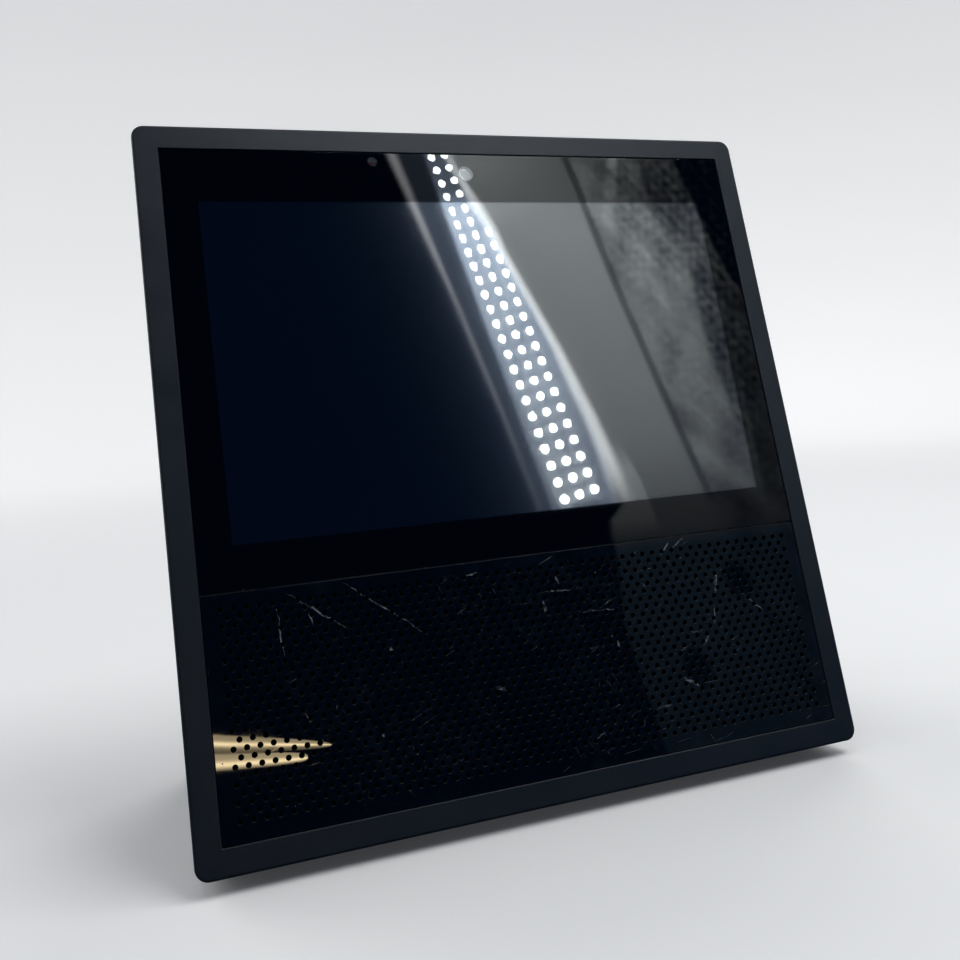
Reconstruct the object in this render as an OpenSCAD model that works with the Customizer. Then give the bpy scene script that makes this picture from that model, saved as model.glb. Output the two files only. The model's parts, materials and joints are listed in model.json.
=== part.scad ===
// Smart display: a 7 inch touch screen over a stereo loudspeaker, in a wedge-shaped body.
// The front frame, the panels and the electronics are laid out in the face frame: x to the
// right, y into the body and z up the face, from the middle of the face's bottom front edge.
// The face frame leans back; the foot, base plate and power socket stand in the upright frame.

/* [Body] */
// Width and height of the square front
face_w = 187; // [180:1:200]
// Depth of the body over the table
body_depth = 90; // [84:1:100]
// Lean of the face from upright, in degrees
tilt = 12; // [8:1:14]
// Depth of the top, from the face to the back edge
top_depth = 34; // [32:1:40]
// Taper of each side towards the back, in degrees
side_draft = 8; // [7:1:9]
// Depth of the front edge, before the taper starts
side_start = 1; // [0.8:0.1:1.2]
// Wall thickness of the front frame and the rear housing
wall = 2.4; // [2:0.1:3]
// Radius of the front's four corners
corner_r = 3.3; // [2.8:0.1:6]
// Radius of the housing's rear corners
rear_r = 7.5; // [5:0.5:9]

/* [Front frame] */
// Width of the frame around the panels
rim = 6.5; // [6:0.1:8]
// Depth of the front frame
bezel_depth = 8.5; // [8:0.1:9]
// Gap around each panel
panel_gap = 0.25; // [0.1:0.05:0.4]
// Height on the face of the seam between the grille and the glass
seam_z = 63.55; // [62:0.05:65]
// Recess of the panels behind the frame's front
panel_recess = 0.2; // [0.1:0.05:0.5]

/* [Display] */
// Width of the clear window in the black mask
view_w = 155.6; // [150:0.1:158]
// Height of the clear window
view_h = 91; // [86:0.5:93]
// Height of the window's lower edge on the face
view_z = 74.8; // [73:0.1:76]
// Height of the camera on the face
camera_z = 174.7; // [173:0.1:175]
// Distance of the light sensor to the left of the camera
sensor_x = 28; // [22:1:34]
// Height of the light sensor on the face
sensor_z = 178; // [177:0.1:178]

/* [Grille] */
// Diameter of each hole
hole_d = 1.4; // [1:0.1:1.6]
// Rows of holes
hole_rows = 25; // [5:2:25]
// Holes in the longer rows
hole_cols = 53; // [11:2:53]
// Distance between the holes in a row
hole_pitch_x = 3.166; // [3:0.01:3.2]
// Distance between the rows
hole_pitch_z = 2.013; // [1.9:0.01:2.02]
// Height of the lowest row on the face
hole_z = 11.41; // [11.3:0.05:12]

/* [Loudspeakers] */
// Distance of each driver from the middle
driver_x = 40; // [38:1:44]
// Height of the drivers on the face
driver_z = 35; // [35:0.5:35.5]
// Side of the driver's square flange
flange_w = 49; // [47:0.5:49]
// Depth of the speaker box behind the baffle
tub_depth = 50; // [42:1:52]

/* [Buttons] */
// Diameter of the button caps
cap_d = 11.6; // [10:0.1:11.8]
// Distance between the buttons
button_pitch = 20; // [16:1:24]
// Depth of the buttons and switches behind the face
button_y = 18; // [17:0.5:19]
// Travel of a button
button_travel = 0.6; // [0.3:0.1:0.7]

/* [Power] */
// Height of the power socket's axis above the table
jack_z = 16; // [15:0.5:18]
// Diameter of the socket's centre pin
jack_pin_d = 2; // [1.6:0.1:2.5]
// Diameter of the socket's mouth
jack_bore_d = 5.7; // [5.5:0.1:6]

/* [Hidden] */
$fn = 48;
eps = 0.01;

// Colours
slate = [0.10, 0.12, 0.14];
gloss_black = [0.01, 0.01, 0.012];
pcb_green = [0.03, 0.16, 0.09];
steel = [0.62, 0.63, 0.65];
zinc = [0.45, 0.46, 0.48];
foam_grey = [0.12, 0.12, 0.13];
rubber_black = [0.04, 0.04, 0.045];

// Heights above the table
foot_t = 2.4;
plate_t = 2;
floor_top = foot_t + 3;
tub_floor = floor_top + 1.6;
front_edge_z = 4.2;

// Depths behind the face
glass_t = 1.1;
ink_t = 0.1;
glass_back = panel_recess + glass_t + ink_t;
ledge_front = 1.6;
ledge_back = 4;
boss_back = 6.5;
lcd_front = 1.7;
lcd_back = 3;
chassis_back = boss_back + 1;
baffle_back = boss_back + 3;
board_front = 14;
board_back = 15.6;
housing_front = 8.7;

// Heights on the face
inner_top = face_w - wall;
panel_w = face_w - 2 * rim - 2 * panel_gap;
glass_z = seam_z + 0.15;
glass_h = face_w - rim - panel_gap - glass_z;
grille_z = rim + panel_gap;
grille_h = seam_z - 0.15 - grille_z;
crossbar_z = 60.9;
crossbar_top = 66.3;
screen_opening_w = 169;
screen_opening_top = 178;
speaker_opening_w = 167.2;
speaker_opening_z = 10.2;
notch_w = 12;
notch_z = 170;
notch_top = 180;
lcd_w = 162;
lcd_z = 70.3;
lcd_h = 98;
baffle_z = 6.2;
baffle_top = 62.9;

// Screws: radius of the pilot hole, the shank, the clearance hole and the head
pilot_r = 0.8;
shank_r = 0.75;
clear_r = 1.1;
head_r = 1.9;
head_h = 1.2;
boss_r = 2.2;
frame_boss_x = face_w / 2 - 5.9;
baffle_boss_z = [13, 57];
driver_hole = 20.8;
chassis_boss_z = [72, 120, 168];
top_boss_x = 45;
top_boss_z = inner_top - 3.3;
standoff_x = [-70, 70];
standoff_z = [76, 120, 163];
sink_x = [-41, 41];
sink_z = [94, 146];
hanger_x = [-83, -52, 52, 83];
hook_x = [-60, -20, 20, 60];
hook_z = [30, 95, 160];
mic_x = [-75, -30, 30, 75];
mic_y = [12.5, 23.5];
button_x = [-button_pitch, 0, button_pitch];

// The buttons' heights on the face: the switch's floor, the stem's foot and the flange's underside
switch_floor = 180.3;
stem_z = 182.65;
flange_z = 183.6;

// Places over the table, in the upright frame
base_x = 75;
base_y = [-33, 40];
base_boss_x = 70.5;
base_boss_y = [-28, 35];
jack_post_x = 14;
jack_post_y = [21, 33];
jack_board_z = 8.4;
jack_board_top = jack_board_z + 1.6;

// The rear corner balls: each touches the back plane, and the upper ones touch the top
rear_foot = to_face(body_depth / 2, foot_t);
back_rise = [top_depth, face_w] - rear_foot;
back_normal = [back_rise[1], -back_rise[0]] / norm(back_rise);
back_lean = atan2(-back_rise[0], back_rise[1]);
ball_top = [top_depth - rear_r * (1 - back_normal[1]) / back_normal[0], face_w - rear_r];
ball_foot = rear_foot - 1.5 * unit(back_rise) - rear_r * back_normal;

// A point of the upright frame's middle plane, as depth and height in the face frame
function to_face(y, z) =
  let (dy = y + body_depth / 2, dz = z - front_edge_z)
  [dy * cos(tilt) - dz * sin(tilt), dy * sin(tilt) + dz * cos(tilt)];

// Depth in the face frame of the housing's outer back at height z
function back_y(z) = top_depth + (face_w - z) * tan(back_lean);

// Half the body's width at depth y
function side_x(y) = face_w / 2 - (y - side_start) * tan(side_draft);

// ---- Helpers ----

// Draws its children, laid out in the face frame
module face() translate([0, -body_depth / 2, front_edge_z]) rotate([-tilt, 0, 0]) children();

// A rectangle centred on x, with its lower edge on y = 0 and round corners
module rounded(w, h, r) {
  if (r == 0) translate([-w / 2, 0]) square([w, h]);
  else {
    translate([-w / 2 + r, 0]) square([w - 2 * r, h]);
    translate([-w / 2, r]) square([w, h - 2 * r]);
    for (x = [-w / 2 + r, w / 2 - r], y = [r, h - r]) translate([x, y]) circle(r);
  }
}

// A plate parallel to the face: its width, lower edge, height, front and thickness
module plate(w, z, h, y, t, r = 0)
  translate([0, y + t, z]) rotate([90, 0, 0]) linear_extrude(t) rounded(w, h, r);

// A rod that runs into the body from depth y
module rod(x, z, y, length, r) translate([x, y, z]) rotate([-90, 0, 0]) cylinder(h = length, r = r);

// A rod that runs up the face from height z
module post(x, y, z, length, r) translate([x, y, z]) cylinder(h = length, r = r);

// A block by its low corner and its size
module block(x, y, z, sx, sy, sz) translate([x, y, z]) cube([sx, sy, sz]);

// A block and its mirror image across the middle
module block_pair(x, y, z, sx, sy, sz) {
  block(x, y, z, sx, sy, sz);
  mirror([1, 0, 0]) block(x, y, z, sx, sy, sz);
}

// The space of the upright frame below height z
module below(z) translate([-150, -150, z - 200]) cube([300, 300, 200]);

// A rounded slab of the upright frame, from x = -half to half and y0 to y1
module slab(half, y0, y1, z, t, r)
  translate([0, y0, z]) linear_extrude(t) rounded(2 * half, y1 - y0, r);

// The points of a smooth curve through p, with n steps a stretch
function curve(p, n = 4) = [
  for (i = [0:len(p) - 2], k = [0:n - 1])
    let (a = p[max(i - 1, 0)], b = p[i], c = p[i + 1], d = p[min(i + 2, len(p) - 1)], t = k / n)
    b + t / 2 * (c - a) + t * t / 2 * (2 * a - 5 * b + 4 * c - d) + pow(t, 3) / 2 * (3 * b - a - 3 * c + d),
  p[len(p) - 1]
];
function unit(v) = v / norm(v);

// A round wire of radius r along a smooth curve through the points p
module wire(p, r, sides = 8) {
  q = curve(p);
  last = len(q) - 1;
  rings = [for (i = [0:last])
    let (ahead = unit(q[min(i + 1, last)] - q[max(i - 1, 0)]),
         across = unit(cross(ahead, [1, 0.12, 0.05])), up = cross(across, ahead))
    for (k = [0:sides - 1]) q[i] + r * (cos(360 * k / sides) * across + sin(360 * k / sides) * up)];
  walls = [for (i = [0:last - 1], k = [0:sides - 1])
    let (a = i * sides + k, b = i * sides + (k + 1) % sides) [a, b, b + sides, a + sides]];
  caps = [[for (k = [sides - 1:-1:0]) k], [for (k = [0:sides - 1]) last * sides + k]];
  polyhedron(rings, concat(walls, caps));
}

// A screw that runs into the body: the depth of its head's underside and its shank's length
module screw_in(x, z, y, length) {
  rod(x, z, y, length, shank_r);
  rod(x, z, y - head_h, head_h, head_r);
}

// A screw driven towards the face: the depth of its head's underside and its shank's length
module screw_out(x, z, y, length) {
  rod(x, z, y - length, length, shank_r);
  rod(x, z, y, head_h, head_r);
}

// ---- Front frame ----

module bezel_frame() color(slate) face() {
  difference() {
    union() {
      difference() {
        plate(face_w, 0, face_w, 0, bezel_depth, corner_r);
        plate(face_w - 2 * wall, wall, inner_top - wall, ledge_back, bezel_depth, corner_r - wall);
        side_tapers();
      }
      for (x = [-frame_boss_x, frame_boss_x], z = concat(baffle_boss_z, chassis_boss_z))
        rod(x, z, ledge_back - eps, boss_back - ledge_back + eps, boss_r);
      for (x = [-top_boss_x, top_boss_x])
        rod(x, top_boss_z, ledge_back - eps, boss_back - ledge_back + eps, boss_r);
    }
    plate(face_w - 2 * rim, rim, face_w - 2 * rim, -1, ledge_front + 1);
    plate(screen_opening_w, crossbar_top, screen_opening_top - crossbar_top, 0, bezel_depth);
    plate(speaker_opening_w, speaker_opening_z, crossbar_z - speaker_opening_z, 0, bezel_depth);
    for (x = [-sensor_x, 0])
      block(x - notch_w / 2, ledge_front, notch_z, notch_w, bezel_depth, notch_top - notch_z);
    for (x = [-frame_boss_x, frame_boss_x], z = concat(baffle_boss_z, chassis_boss_z))
      rod(x, z, 2.4, boss_back, pilot_r);
    for (x = [-top_boss_x, top_boss_x]) rod(x, top_boss_z, 2.4, boss_back, pilot_r);
    hook_pockets();
  }
}

// What the taper takes off each side of the frame
module side_tapers() for (side = [0, 1]) mirror([side, 0, 0])
  translate([face_w / 2, side_start, -1]) rotate([0, 0, side_draft]) cube([5, 10, face_w + 2]);

// Pockets that the housing's snap hooks click into
module hook_pockets() {
  for (x = hook_x) block(x - 6.4, 4.6, inner_top - 0.5, 12.8, 1.5, 1.3);
  for (z = hook_z) block_pair(face_w / 2 - wall - 0.5, 4.6, z - 6.4, 1.3, 1.5, 12.8);
}

module cover_glass() color(gloss_black, 0.6) face()
  plate(panel_w, glass_z, glass_h, panel_recess, glass_t);

module glass_mask() color(gloss_black) face() difference() {
  plate(panel_w, glass_z, glass_h, panel_recess + glass_t, ink_t);
  plate(view_w, view_z, view_h, panel_recess, glass_t + 1, 0.5);
  rod(0, camera_z, panel_recess, 3, 2.25);
  rod(-sensor_x, sensor_z, panel_recess, 3, 1.5);
}

module glass_tape() color(foam_grey) face() difference() {
  plate(panel_w - 0.4, glass_z + 0.2, glass_h - 0.4, glass_back, ledge_front - glass_back);
  plate(screen_opening_w + 0.4, crossbar_top, screen_opening_top + 0.2 - crossbar_top, 1, 2);
  for (x = [-sensor_x, 0]) block(x - notch_w / 2, 1, notch_z, notch_w, 2, 12);
}

// ---- Display ----

module lcd_tape() color(foam_grey) face() difference() {
  plate(lcd_w - 0.4, lcd_z + 0.2, lcd_h - 0.4, glass_back, lcd_front - glass_back);
  plate(view_w + 0.8, view_z - 0.4, view_h + 0.8, 1, 2);
}

module lcd_panel() color([0.05, 0.06, 0.08]) face()
  plate(lcd_w, lcd_z, lcd_h, lcd_front, lcd_back - lcd_front, 0.5);

module lcd_backlight() color(zinc) face()
  plate(lcd_w + 2, lcd_z - 1, lcd_h + 2, lcd_back, boss_back - lcd_back, 1);

module display_chassis() color(steel) face() difference() {
  union() {
    plate(178.4, 64.5, 118.3, boss_back, chassis_back - boss_back, 2);
    for (x = standoff_x, z = standoff_z)
      rod(x, z, chassis_back - eps, board_front - chassis_back + eps, 2.4);
  }
  for (x = [-frame_boss_x, frame_boss_x], z = chassis_boss_z) rod(x, z, 6, 3, clear_r);
  for (x = [-top_boss_x, top_boss_x]) rod(x, top_boss_z, 6, 3, clear_r);
  for (x = standoff_x, z = standoff_z) rod(x, z, 8.5, 6, pilot_r);
  block(-14, 6, 66.9, 28, 3, 2);
  block(9, 6, 169.6, 8, 3, 1.2);
}

// The flat cables of the display, the camera and the top board
module ribbon_cables() color([0.55, 0.33, 0.10]) face() {
  block(-12, 2.6, 67.9, 24, 0.25, lcd_z - 67.9);
  block(-12, 2.6, 67.65, 24, 10.75, 0.25);
  block(-12, 13.1, 67.9, 24, 0.25, 7.1);
  block(10, 6.05, 170.1, 6, 0.2, 0.9);
  block(10, 6.05, 169.9, 6, 7, 0.2);
  block(10, 12.85, 160, 6, 0.2, 9.9);
  block(-10, 17, 163, 20, 0.2, 15.4);
}

module camera_module() color(rubber_black) face() difference() {
  union() {
    rod(0, camera_z, 1.75, 2.3, 2.8);
    block(-3.6, 4, camera_z - 3.6, 7.2, 1.7, 7.2);
  }
  rod(0, camera_z, 1, 2.2, 1.62);
}

module camera_lens() color([0.1, 0.1, 0.2], 0.7) face() rod(0, camera_z, 1.9, 1.3, 1.6);

module light_sensor() color([0.35, 0.1, 0.08]) face() {
  rod(-sensor_x, sensor_z, 1.75, 3.2, 1.2);
  block(-sensor_x - 1.8, 4.9, sensor_z - 1.5, 3.6, 0.8, 3);
}

module sensor_board() color(pcb_green) face() block(-36, 5.7, 171, 54, 0.8, 8.8);

// ---- Grille and loudspeakers ----

module speaker_grille() color(gloss_black) face() difference() {
  plate(panel_w, grille_z, grille_h, panel_recess, ledge_front - panel_recess);
  for (row = [0:hole_rows - 1], col = [0:hole_cols - 1 - row % 2])
    rod((col - (hole_cols - 1 - row % 2) / 2) * hole_pitch_x, hole_z + row * hole_pitch_z,
      0, 2, hole_d / 2);
}

module grille_cloth() color([0.02, 0.02, 0.02]) face()
  plate(speaker_opening_w - 0.4, speaker_opening_z + 0.2, crossbar_z - speaker_opening_z - 0.4,
    ledge_front, 0.25);

module speaker_gasket() color(foam_grey) face() difference() {
  plate(170.4, 7.2, baffle_top - 7.2, ledge_back, boss_back - ledge_back, 1);
  plate(167.6, 10, 51.1, ledge_back - 1, 5);
}

module speaker_baffle() color(slate) face() difference() {
  plate(178.8, baffle_z, baffle_top - baffle_z, boss_back, baffle_back - boss_back, 2);
  for (x = [-driver_x, driver_x]) {
    rod(x, driver_z, 6, 4, 21.8);
    driver_holes(x) rod(0, 0, 6, 4, pilot_r);
  }
  for (x = [-frame_boss_x, frame_boss_x], z = baffle_boss_z) rod(x, z, 6, 4, clear_r);
}

// Draws its children at the four fixing points of the driver at x
module driver_holes(x)
  for (dx = [-driver_hole, driver_hole], dz = [-driver_hole, driver_hole])
    translate([x + dx, 0, driver_z + dz]) children();

// The sealed box behind the drivers, with a wall between the two channels
module speaker_tub() color([0.07, 0.07, 0.08]) difference() {
  union() {
    difference() {
      face() plate(164, baffle_z, 55.8, baffle_back, tub_depth, 3);
      face() plate(160, baffle_z + 2, 51.8, baffle_back - 1, tub_depth - 1, 1.5);
    }
    face() block(-81, baffle_back, baffle_z + 1, 162, tub_depth - 1, 12);
    face() block(-1, baffle_back, baffle_z + 1, 2, tub_depth - 1, 53);
  }
  below(tub_floor);
  difference() {
    face() block(-80, baffle_back - 1, baffle_z + 2, 79, tub_depth - 1, 12);
    below(tub_floor + 2);
  }
  difference() {
    face() block(1, baffle_back - 1, baffle_z + 2, 79, tub_depth - 1, 12);
    below(tub_floor + 2);
  }
  face() for (x = [-22, 22]) rod(x, 55, baffle_back + tub_depth - 4, 8, 1.1);
}

// Draws its children on a driver's axis: side is -1 or 1, and z runs into the body
module at_driver(side)
  face() translate([side * driver_x, 0, driver_z]) rotate([-90, 0, 0]) children();

// A turned ring with the given section, as points of radius and depth
module turned(points) rotate_extrude() polygon(points);

module basket(side) color(steel) at_driver(side) difference() {
  union() {
    translate([0, -flange_w / 2, 5]) linear_extrude(1.5) rounded(flange_w, flange_w, 4);
    turned([[20.6, 6.4], [21.6, 6.4], [17.5, 18.5], [9.6, 18.5], [9.6, 17.4], [16.5, 17.4]]);
    turned([[15.2, 13.9], [18.2, 13.9], [18.2, 14.7], [15.2, 14.7]]);
  }
  translate([0, 0, 4]) cylinder(h = 3, r = 20.5);
  for (a = [0:60:300]) rotate(a) translate([15.9, -4.5, 8.5]) cube([7, 9, 4.4]);
  for (x = [-driver_hole, driver_hole], y = [-driver_hole, driver_hole])
    translate([x, y, 4]) cylinder(h = 4, r = 1);
}

module motor(side) color(zinc) at_driver(side) difference() {
  union() {
    translate([0, 0, 18.5]) cylinder(h = 3.5, r = 17);
    translate([0, 0, 22]) cylinder(h = 9, r = 18);
    translate([0, 0, 31]) cylinder(h = 3.5, r = 17);
  }
  turned([[7.7, 18], [9.3, 18], [9.3, 22], [10.5, 22], [10.5, 31], [7.7, 31]]);
  translate([0, 0, 18]) cylinder(h = 20, r = 2);
}

// The half-roll rubber edge between the cone and the flange
module surround(side) color(rubber_black) at_driver(side) rotate_extrude() {
  translate([20.4, 4.6]) square([3, 0.4]);
  difference() {
    translate([19.05, 5]) circle(1.5);
    translate([19.05, 5]) circle(1.1);
    translate([16, 5]) square([6, 3]);
  }
}

// The corrugated suspension around the voice coil
module spider(side) color([0.62, 0.48, 0.22]) at_driver(side) turned([
  [8.65, 13.5], for (i = [0:5]) [9.6 + i * 1.3, 13.5 - 0.5 * (i % 2)], [17.4, 13.5], [17.4, 13.9],
  for (i = [5:-1:0]) [9.6 + i * 1.3, 13.9 - 0.5 * (i % 2)], [8.65, 13.9]]);

module cone(side) color([0.08, 0.08, 0.09]) at_driver(side)
  turned([[8.5, 10.2], [17.35, 4.6], [17.35, 5.1], [8.5, 10.8]]);

module dust_cap(side) color([0.05, 0.05, 0.055]) at_driver(side) rotate_extrude() difference() {
  translate([0, 19.2]) circle(12, $fn = 96);
  translate([0, 19.2]) circle(11.6, $fn = 96);
  translate([-20, 0]) square([20, 40]);
  translate([-1, 10.2]) square([20, 30]);
}

module voice_coil(side) color([0.72, 0.38, 0.18]) at_driver(side)
  turned([[8.2, 10.2], [8.5, 10.2], [8.5, 18.9], [8.95, 18.9], [8.95, 21.7], [8.2, 21.7]]);

// ---- Electronics ----

module main_board() color(pcb_green) face() difference() {
  plate(150, 72, 95, board_front, board_back - board_front, 1.5);
  for (x = standoff_x, z = standoff_z) rod(x, z, 13, 4, clear_r);
  for (x = sink_x, z = sink_z) rod(x, z, 13, 4, clear_r);
}

// A row of small parts along x on the back of the main board
module part_row(x, z, count, pitch, w, h, t)
  for (i = [0:count - 1]) block(x + i * pitch, board_back, z, w, t, h);

module board_chips() color([0.06, 0.06, 0.065]) face() {
  block(-8, board_back, 112, 16, 1.3, 16);
  block(-30, board_back, 108, 12, 1, 9);
  block(-30, board_back, 124, 12, 1, 9);
  block(17, board_back, 114, 11.5, 1, 13);
  block(49, board_back, 91, 8, 0.9, 8);
  part_row(-62, 84, 2, 11, 7, 7, 1);
  part_row(-46, 154, 8, 5, 3, 2, 1);
  part_row(18, 154, 6, 5, 3, 2, 1);
  part_row(40, 79, 5, 5, 3.2, 1.6, 0.8);
  part_row(-62, 98, 4, 4, 2, 1.2, 0.6);
}

module shield_cans() color(steel) face() {
  block_pair(47, board_back, 104, 19, 2.2, 34);
}

module board_connectors() color([0.75, 0.72, 0.64]) face() {
  block(-14, 12.5, 75, 28, 1.5, 4);
  block(9, 12.5, 156, 8, 1.5, 4);
  block(25, board_back, 74, 10, 5, 5);
  block(-36, board_back, 74, 12, 5, 5);
  block(-12, board_back, 159, 24, 1.5, 4);
}

module thermal_pad() color([0.55, 0.62, 0.72]) face() block(-8, 16.9, 112, 16, 1, 16);

module heat_sink() color([0.25, 0.25, 0.27]) face() difference() {
  union() {
    plate(90, 90, 60, 17.9, 2, 2);
    for (i = [0:10]) block(-36 + i * 7.08, 19.8, 92, 1.2, 10, 56);
    for (x = sink_x, z = sink_z) rod(x, z, board_back, 2.4, 2.3);
  }
  for (x = sink_x, z = sink_z) rod(x, z, 15, 6, clear_r);
}

// Two flat antennas on the inside of the sloping back, with their feed lines
module wifi_antennas() color([0.20, 0.20, 0.22]) face() for (side = [-1, 1]) {
  translate([side * 55, back_y(150) - 3.4, 150]) rotate([back_lean, 0, 0])
    translate([-20, 0, -5]) cube([40, 0.6, 10]);
  wire([[side * 52, back_y(147) - 3.9, 147], [side * 55, 32, 141], [side * 60, 21, 132],
    [side * 60, 17.9, 131]], 0.5, 6);
}

module top_board() color(pcb_green) face() difference() {
  block(-85, 10, 178.4, 170, 19, 1.6);
  for (x = hanger_x) post(x, button_y, 178, 3, clear_r);
  for (x = mic_x, y = mic_y) post(x, y, 178, 3, 0.5);
}

module microphones() color([0.70, 0.62, 0.42]) face()
  for (x = mic_x, y = mic_y) block(x - 1.75, y - 1.3, 177.4, 3.5, 2.6, 1);

module microphone_gaskets() color(foam_grey) face() for (x = mic_x, y = mic_y) difference() {
  post(x, y, 180, inner_top - 180.1, 2.5);
  post(x, y, 179, 6, 1);
}

module switch_bodies() color([0.16, 0.16, 0.17]) face() for (x = button_x) difference() {
  block(x - 3, button_y - 3, 180, 6, 6, 1.9);
  post(x, button_y, switch_floor, 2, 1.25);
}

module plunger(x) color([0.80, 0.78, 0.72]) face()
  post(x, button_y, switch_floor + 0.1 + button_travel, stem_z - switch_floor - 0.1 - button_travel, 1.2);

module button(x) color([0.07, 0.08, 0.09]) face() difference() {
  union() {
    post(x, button_y, flange_z, face_w - flange_z, cap_d / 2);
    post(x, button_y, flange_z, 0.8, cap_d / 2 + 1);
    post(x, button_y, stem_z, 1, 1.8);
  }
  button_mark(x);
}

// The shallow mark on each cap: a minus, a ring and a plus
module button_mark(x) translate([x, button_y, face_w - 0.25]) linear_extrude(1) {
  if (x != 0) square([4, 0.7], center = true);
  if (x > 0) square([0.7, 4], center = true);
  if (x == 0) difference() {
    circle(2.1);
    circle(1.5);
  }
}

// ---- Rear housing and base ----

// The housing's outer shape, or its inner one when inset by the wall
module housing_form(inset) hull() {
  plate(2 * (side_x(housing_front) - inset), inset, face_w - 2 * inset, housing_front - inset / 4,
    eps, corner_r - inset, $fn = 32);
  for (side = [-1, 1], ball = [ball_top, ball_foot])
    translate([side * ball_x(ball[0]), ball[0], ball[1]]) sphere(rear_r - inset, $fn = 32);
}
function ball_x(y) = side_x(y) - rear_r / cos(side_draft);

module rear_housing() color(slate) difference() {
  union() {
    difference() {
      face() housing_form(0);
      difference() {
        face() housing_form(wall);
        below(floor_top);
      }
      below(foot_t);
    }
    face() for (x = hanger_x) post(x, button_y, 180, inner_top - 180 + 1, boss_r);
    face() snap_hooks();
    for (x = [-base_boss_x, base_boss_x]) {
      post(x, base_boss_y[0], floor_top - 0.5, 1.7, 3.2);
      post(x, base_boss_y[1], floor_top - 0.5, 5, 3.2);
    }
    translate([0, 39.7, jack_z]) rotate([-90, 0, 0]) cylinder(h = 2.8, r = 7.5);
  }
  slab(base_x, base_y[0], base_y[1], foot_t - 1, plate_t + 1, 8);
  difference() {
    slab(base_x - 4, base_y[0] + 4, base_y[1] - 4, foot_t, 5, 6);
    for (x = [-base_boss_x, base_boss_x], y = base_boss_y) post(x, y, foot_t, 12, 3.2);
  }
  for (x = [-base_boss_x, base_boss_x], y = base_boss_y) post(x, y, foot_t, 12, 0.9);
  translate([0, 36, jack_z]) rotate([-90, 0, 0]) cylinder(h = 12, r = 5.5);
  face() {
    for (x = hanger_x) post(x, button_y, 179, inner_top - 179 + 0.8, pilot_r);
    for (x = button_x) post(x, button_y, inner_top - 1, wall + 2, cap_d / 2 + 0.2);
    for (x = mic_x, y = mic_y) post(x, y, inner_top - 1, wall + 2, 0.6);
  }
}

// The hooks along the front edge that click into the frame
module snap_hooks() {
  for (x = hook_x) {
    block(x - 6, 4.4, inner_top - 1.35, 12, 6.5, 1.2);
    block(x - 6, 4.8, inner_top - 0.2, 12, 1, 0.7);
    block(x - 6, 9.4, inner_top - 0.2, 12, 1.5, 0.3);
  }
  for (z = hook_z) {
    block_pair(face_w / 2 - wall - 1.35, 4.4, z - 6, 1.2, 9.2, 12);
    block_pair(face_w / 2 - wall - 0.2, 4.8, z - 6, 0.7, 1, 12);
  }
}

module base_plate() color([0.06, 0.065, 0.07]) difference() {
  union() {
    slab(base_x - 0.15, base_y[0] + 0.15, base_y[1] - 0.15, foot_t, plate_t, 7.85);
    for (x = [-jack_post_x, jack_post_x], y = jack_post_y)
      post(x, y, foot_t + plate_t - eps, jack_board_z - foot_t - plate_t + eps, 2.4);
  }
  for (x = [-base_boss_x, base_boss_x], y = base_boss_y) {
    post(x, y, foot_t - 1, 5, 1.2);
    post(x, y, foot_t - 1, 2.3, 2.3);
  }
  for (x = [-jack_post_x, jack_post_x], y = jack_post_y) post(x, y, foot_t + 1, 8, pilot_r);
}

module rubber_foot() color(rubber_black) difference() {
  slab(base_x - 2, base_y[0] + 2, base_y[1] - 2, 0, foot_t, 8);
  slab(base_x - 13, base_y[0] + 13, base_y[1] - 13, -1, 1.6, 4);
}

// The round power socket, its mouth towards the back
module power_jack() color([0.05, 0.05, 0.055]) {
  difference() {
    union() {
      block(-5.5, 26, jack_board_top, 11, 13.5, 11.5);
      translate([0, 39.4, jack_z]) rotate([-90, 0, 0]) cylinder(h = 3.4, r = 5.3);
    }
    translate([0, 33.3, jack_z]) rotate([-90, 0, 0]) cylinder(h = 12, r = jack_bore_d / 2);
  }
  translate([0, 33, jack_z]) rotate([-90, 0, 0]) cylinder(h = 9, r = jack_pin_d / 2);
}

module jack_board() color(pcb_green) difference() {
  slab(18, 18.5, 39, jack_board_z, 1.6, 1);
  for (x = [-jack_post_x, jack_post_x], y = jack_post_y) post(x, y, 8, 3, clear_r);
}

// ---- Screws ----

module frame_screws() color(zinc) face() {
  for (x = [-frame_boss_x, frame_boss_x]) {
    for (z = baffle_boss_z) screw_out(x, z, baffle_back, 6);
    for (z = chassis_boss_z) screw_out(x, z, chassis_back, 4.5);
  }
  for (x = [-top_boss_x, top_boss_x]) screw_out(x, top_boss_z, chassis_back, 4.5);
}

module driver_screws() color(zinc) face() for (x = [-driver_x, driver_x])
  driver_holes(x) screw_in(0, 0, 5, 4.2);

module board_screws() color(zinc) {
  face() {
    for (x = standoff_x, z = standoff_z) screw_out(x, z, board_back, 6.5);
    for (x = sink_x, z = sink_z) screw_out(x, z, 19.9, 6.2);
    for (x = hanger_x) {
      post(x, button_y, 178.4 - head_h, head_h, head_r);
      post(x, button_y, 178.4, 6, shank_r);
    }
  }
  for (x = [-jack_post_x, jack_post_x], y = jack_post_y) {
    post(x, y, jack_board_top, head_h, head_r);
    post(x, y, jack_board_top - 5, 5, shank_r);
  }
}

module base_screws() color(zinc) for (x = [-base_boss_x, base_boss_x]) {
  for (y = base_boss_y) post(x, y, foot_t + 0.1, head_h, 2.1);
  post(x, base_boss_y[0], foot_t + head_h, 2.9, 0.85);
  post(x, base_boss_y[1], foot_t + head_h, 5.5, 0.85);
}

// ---- Wires ----

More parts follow.
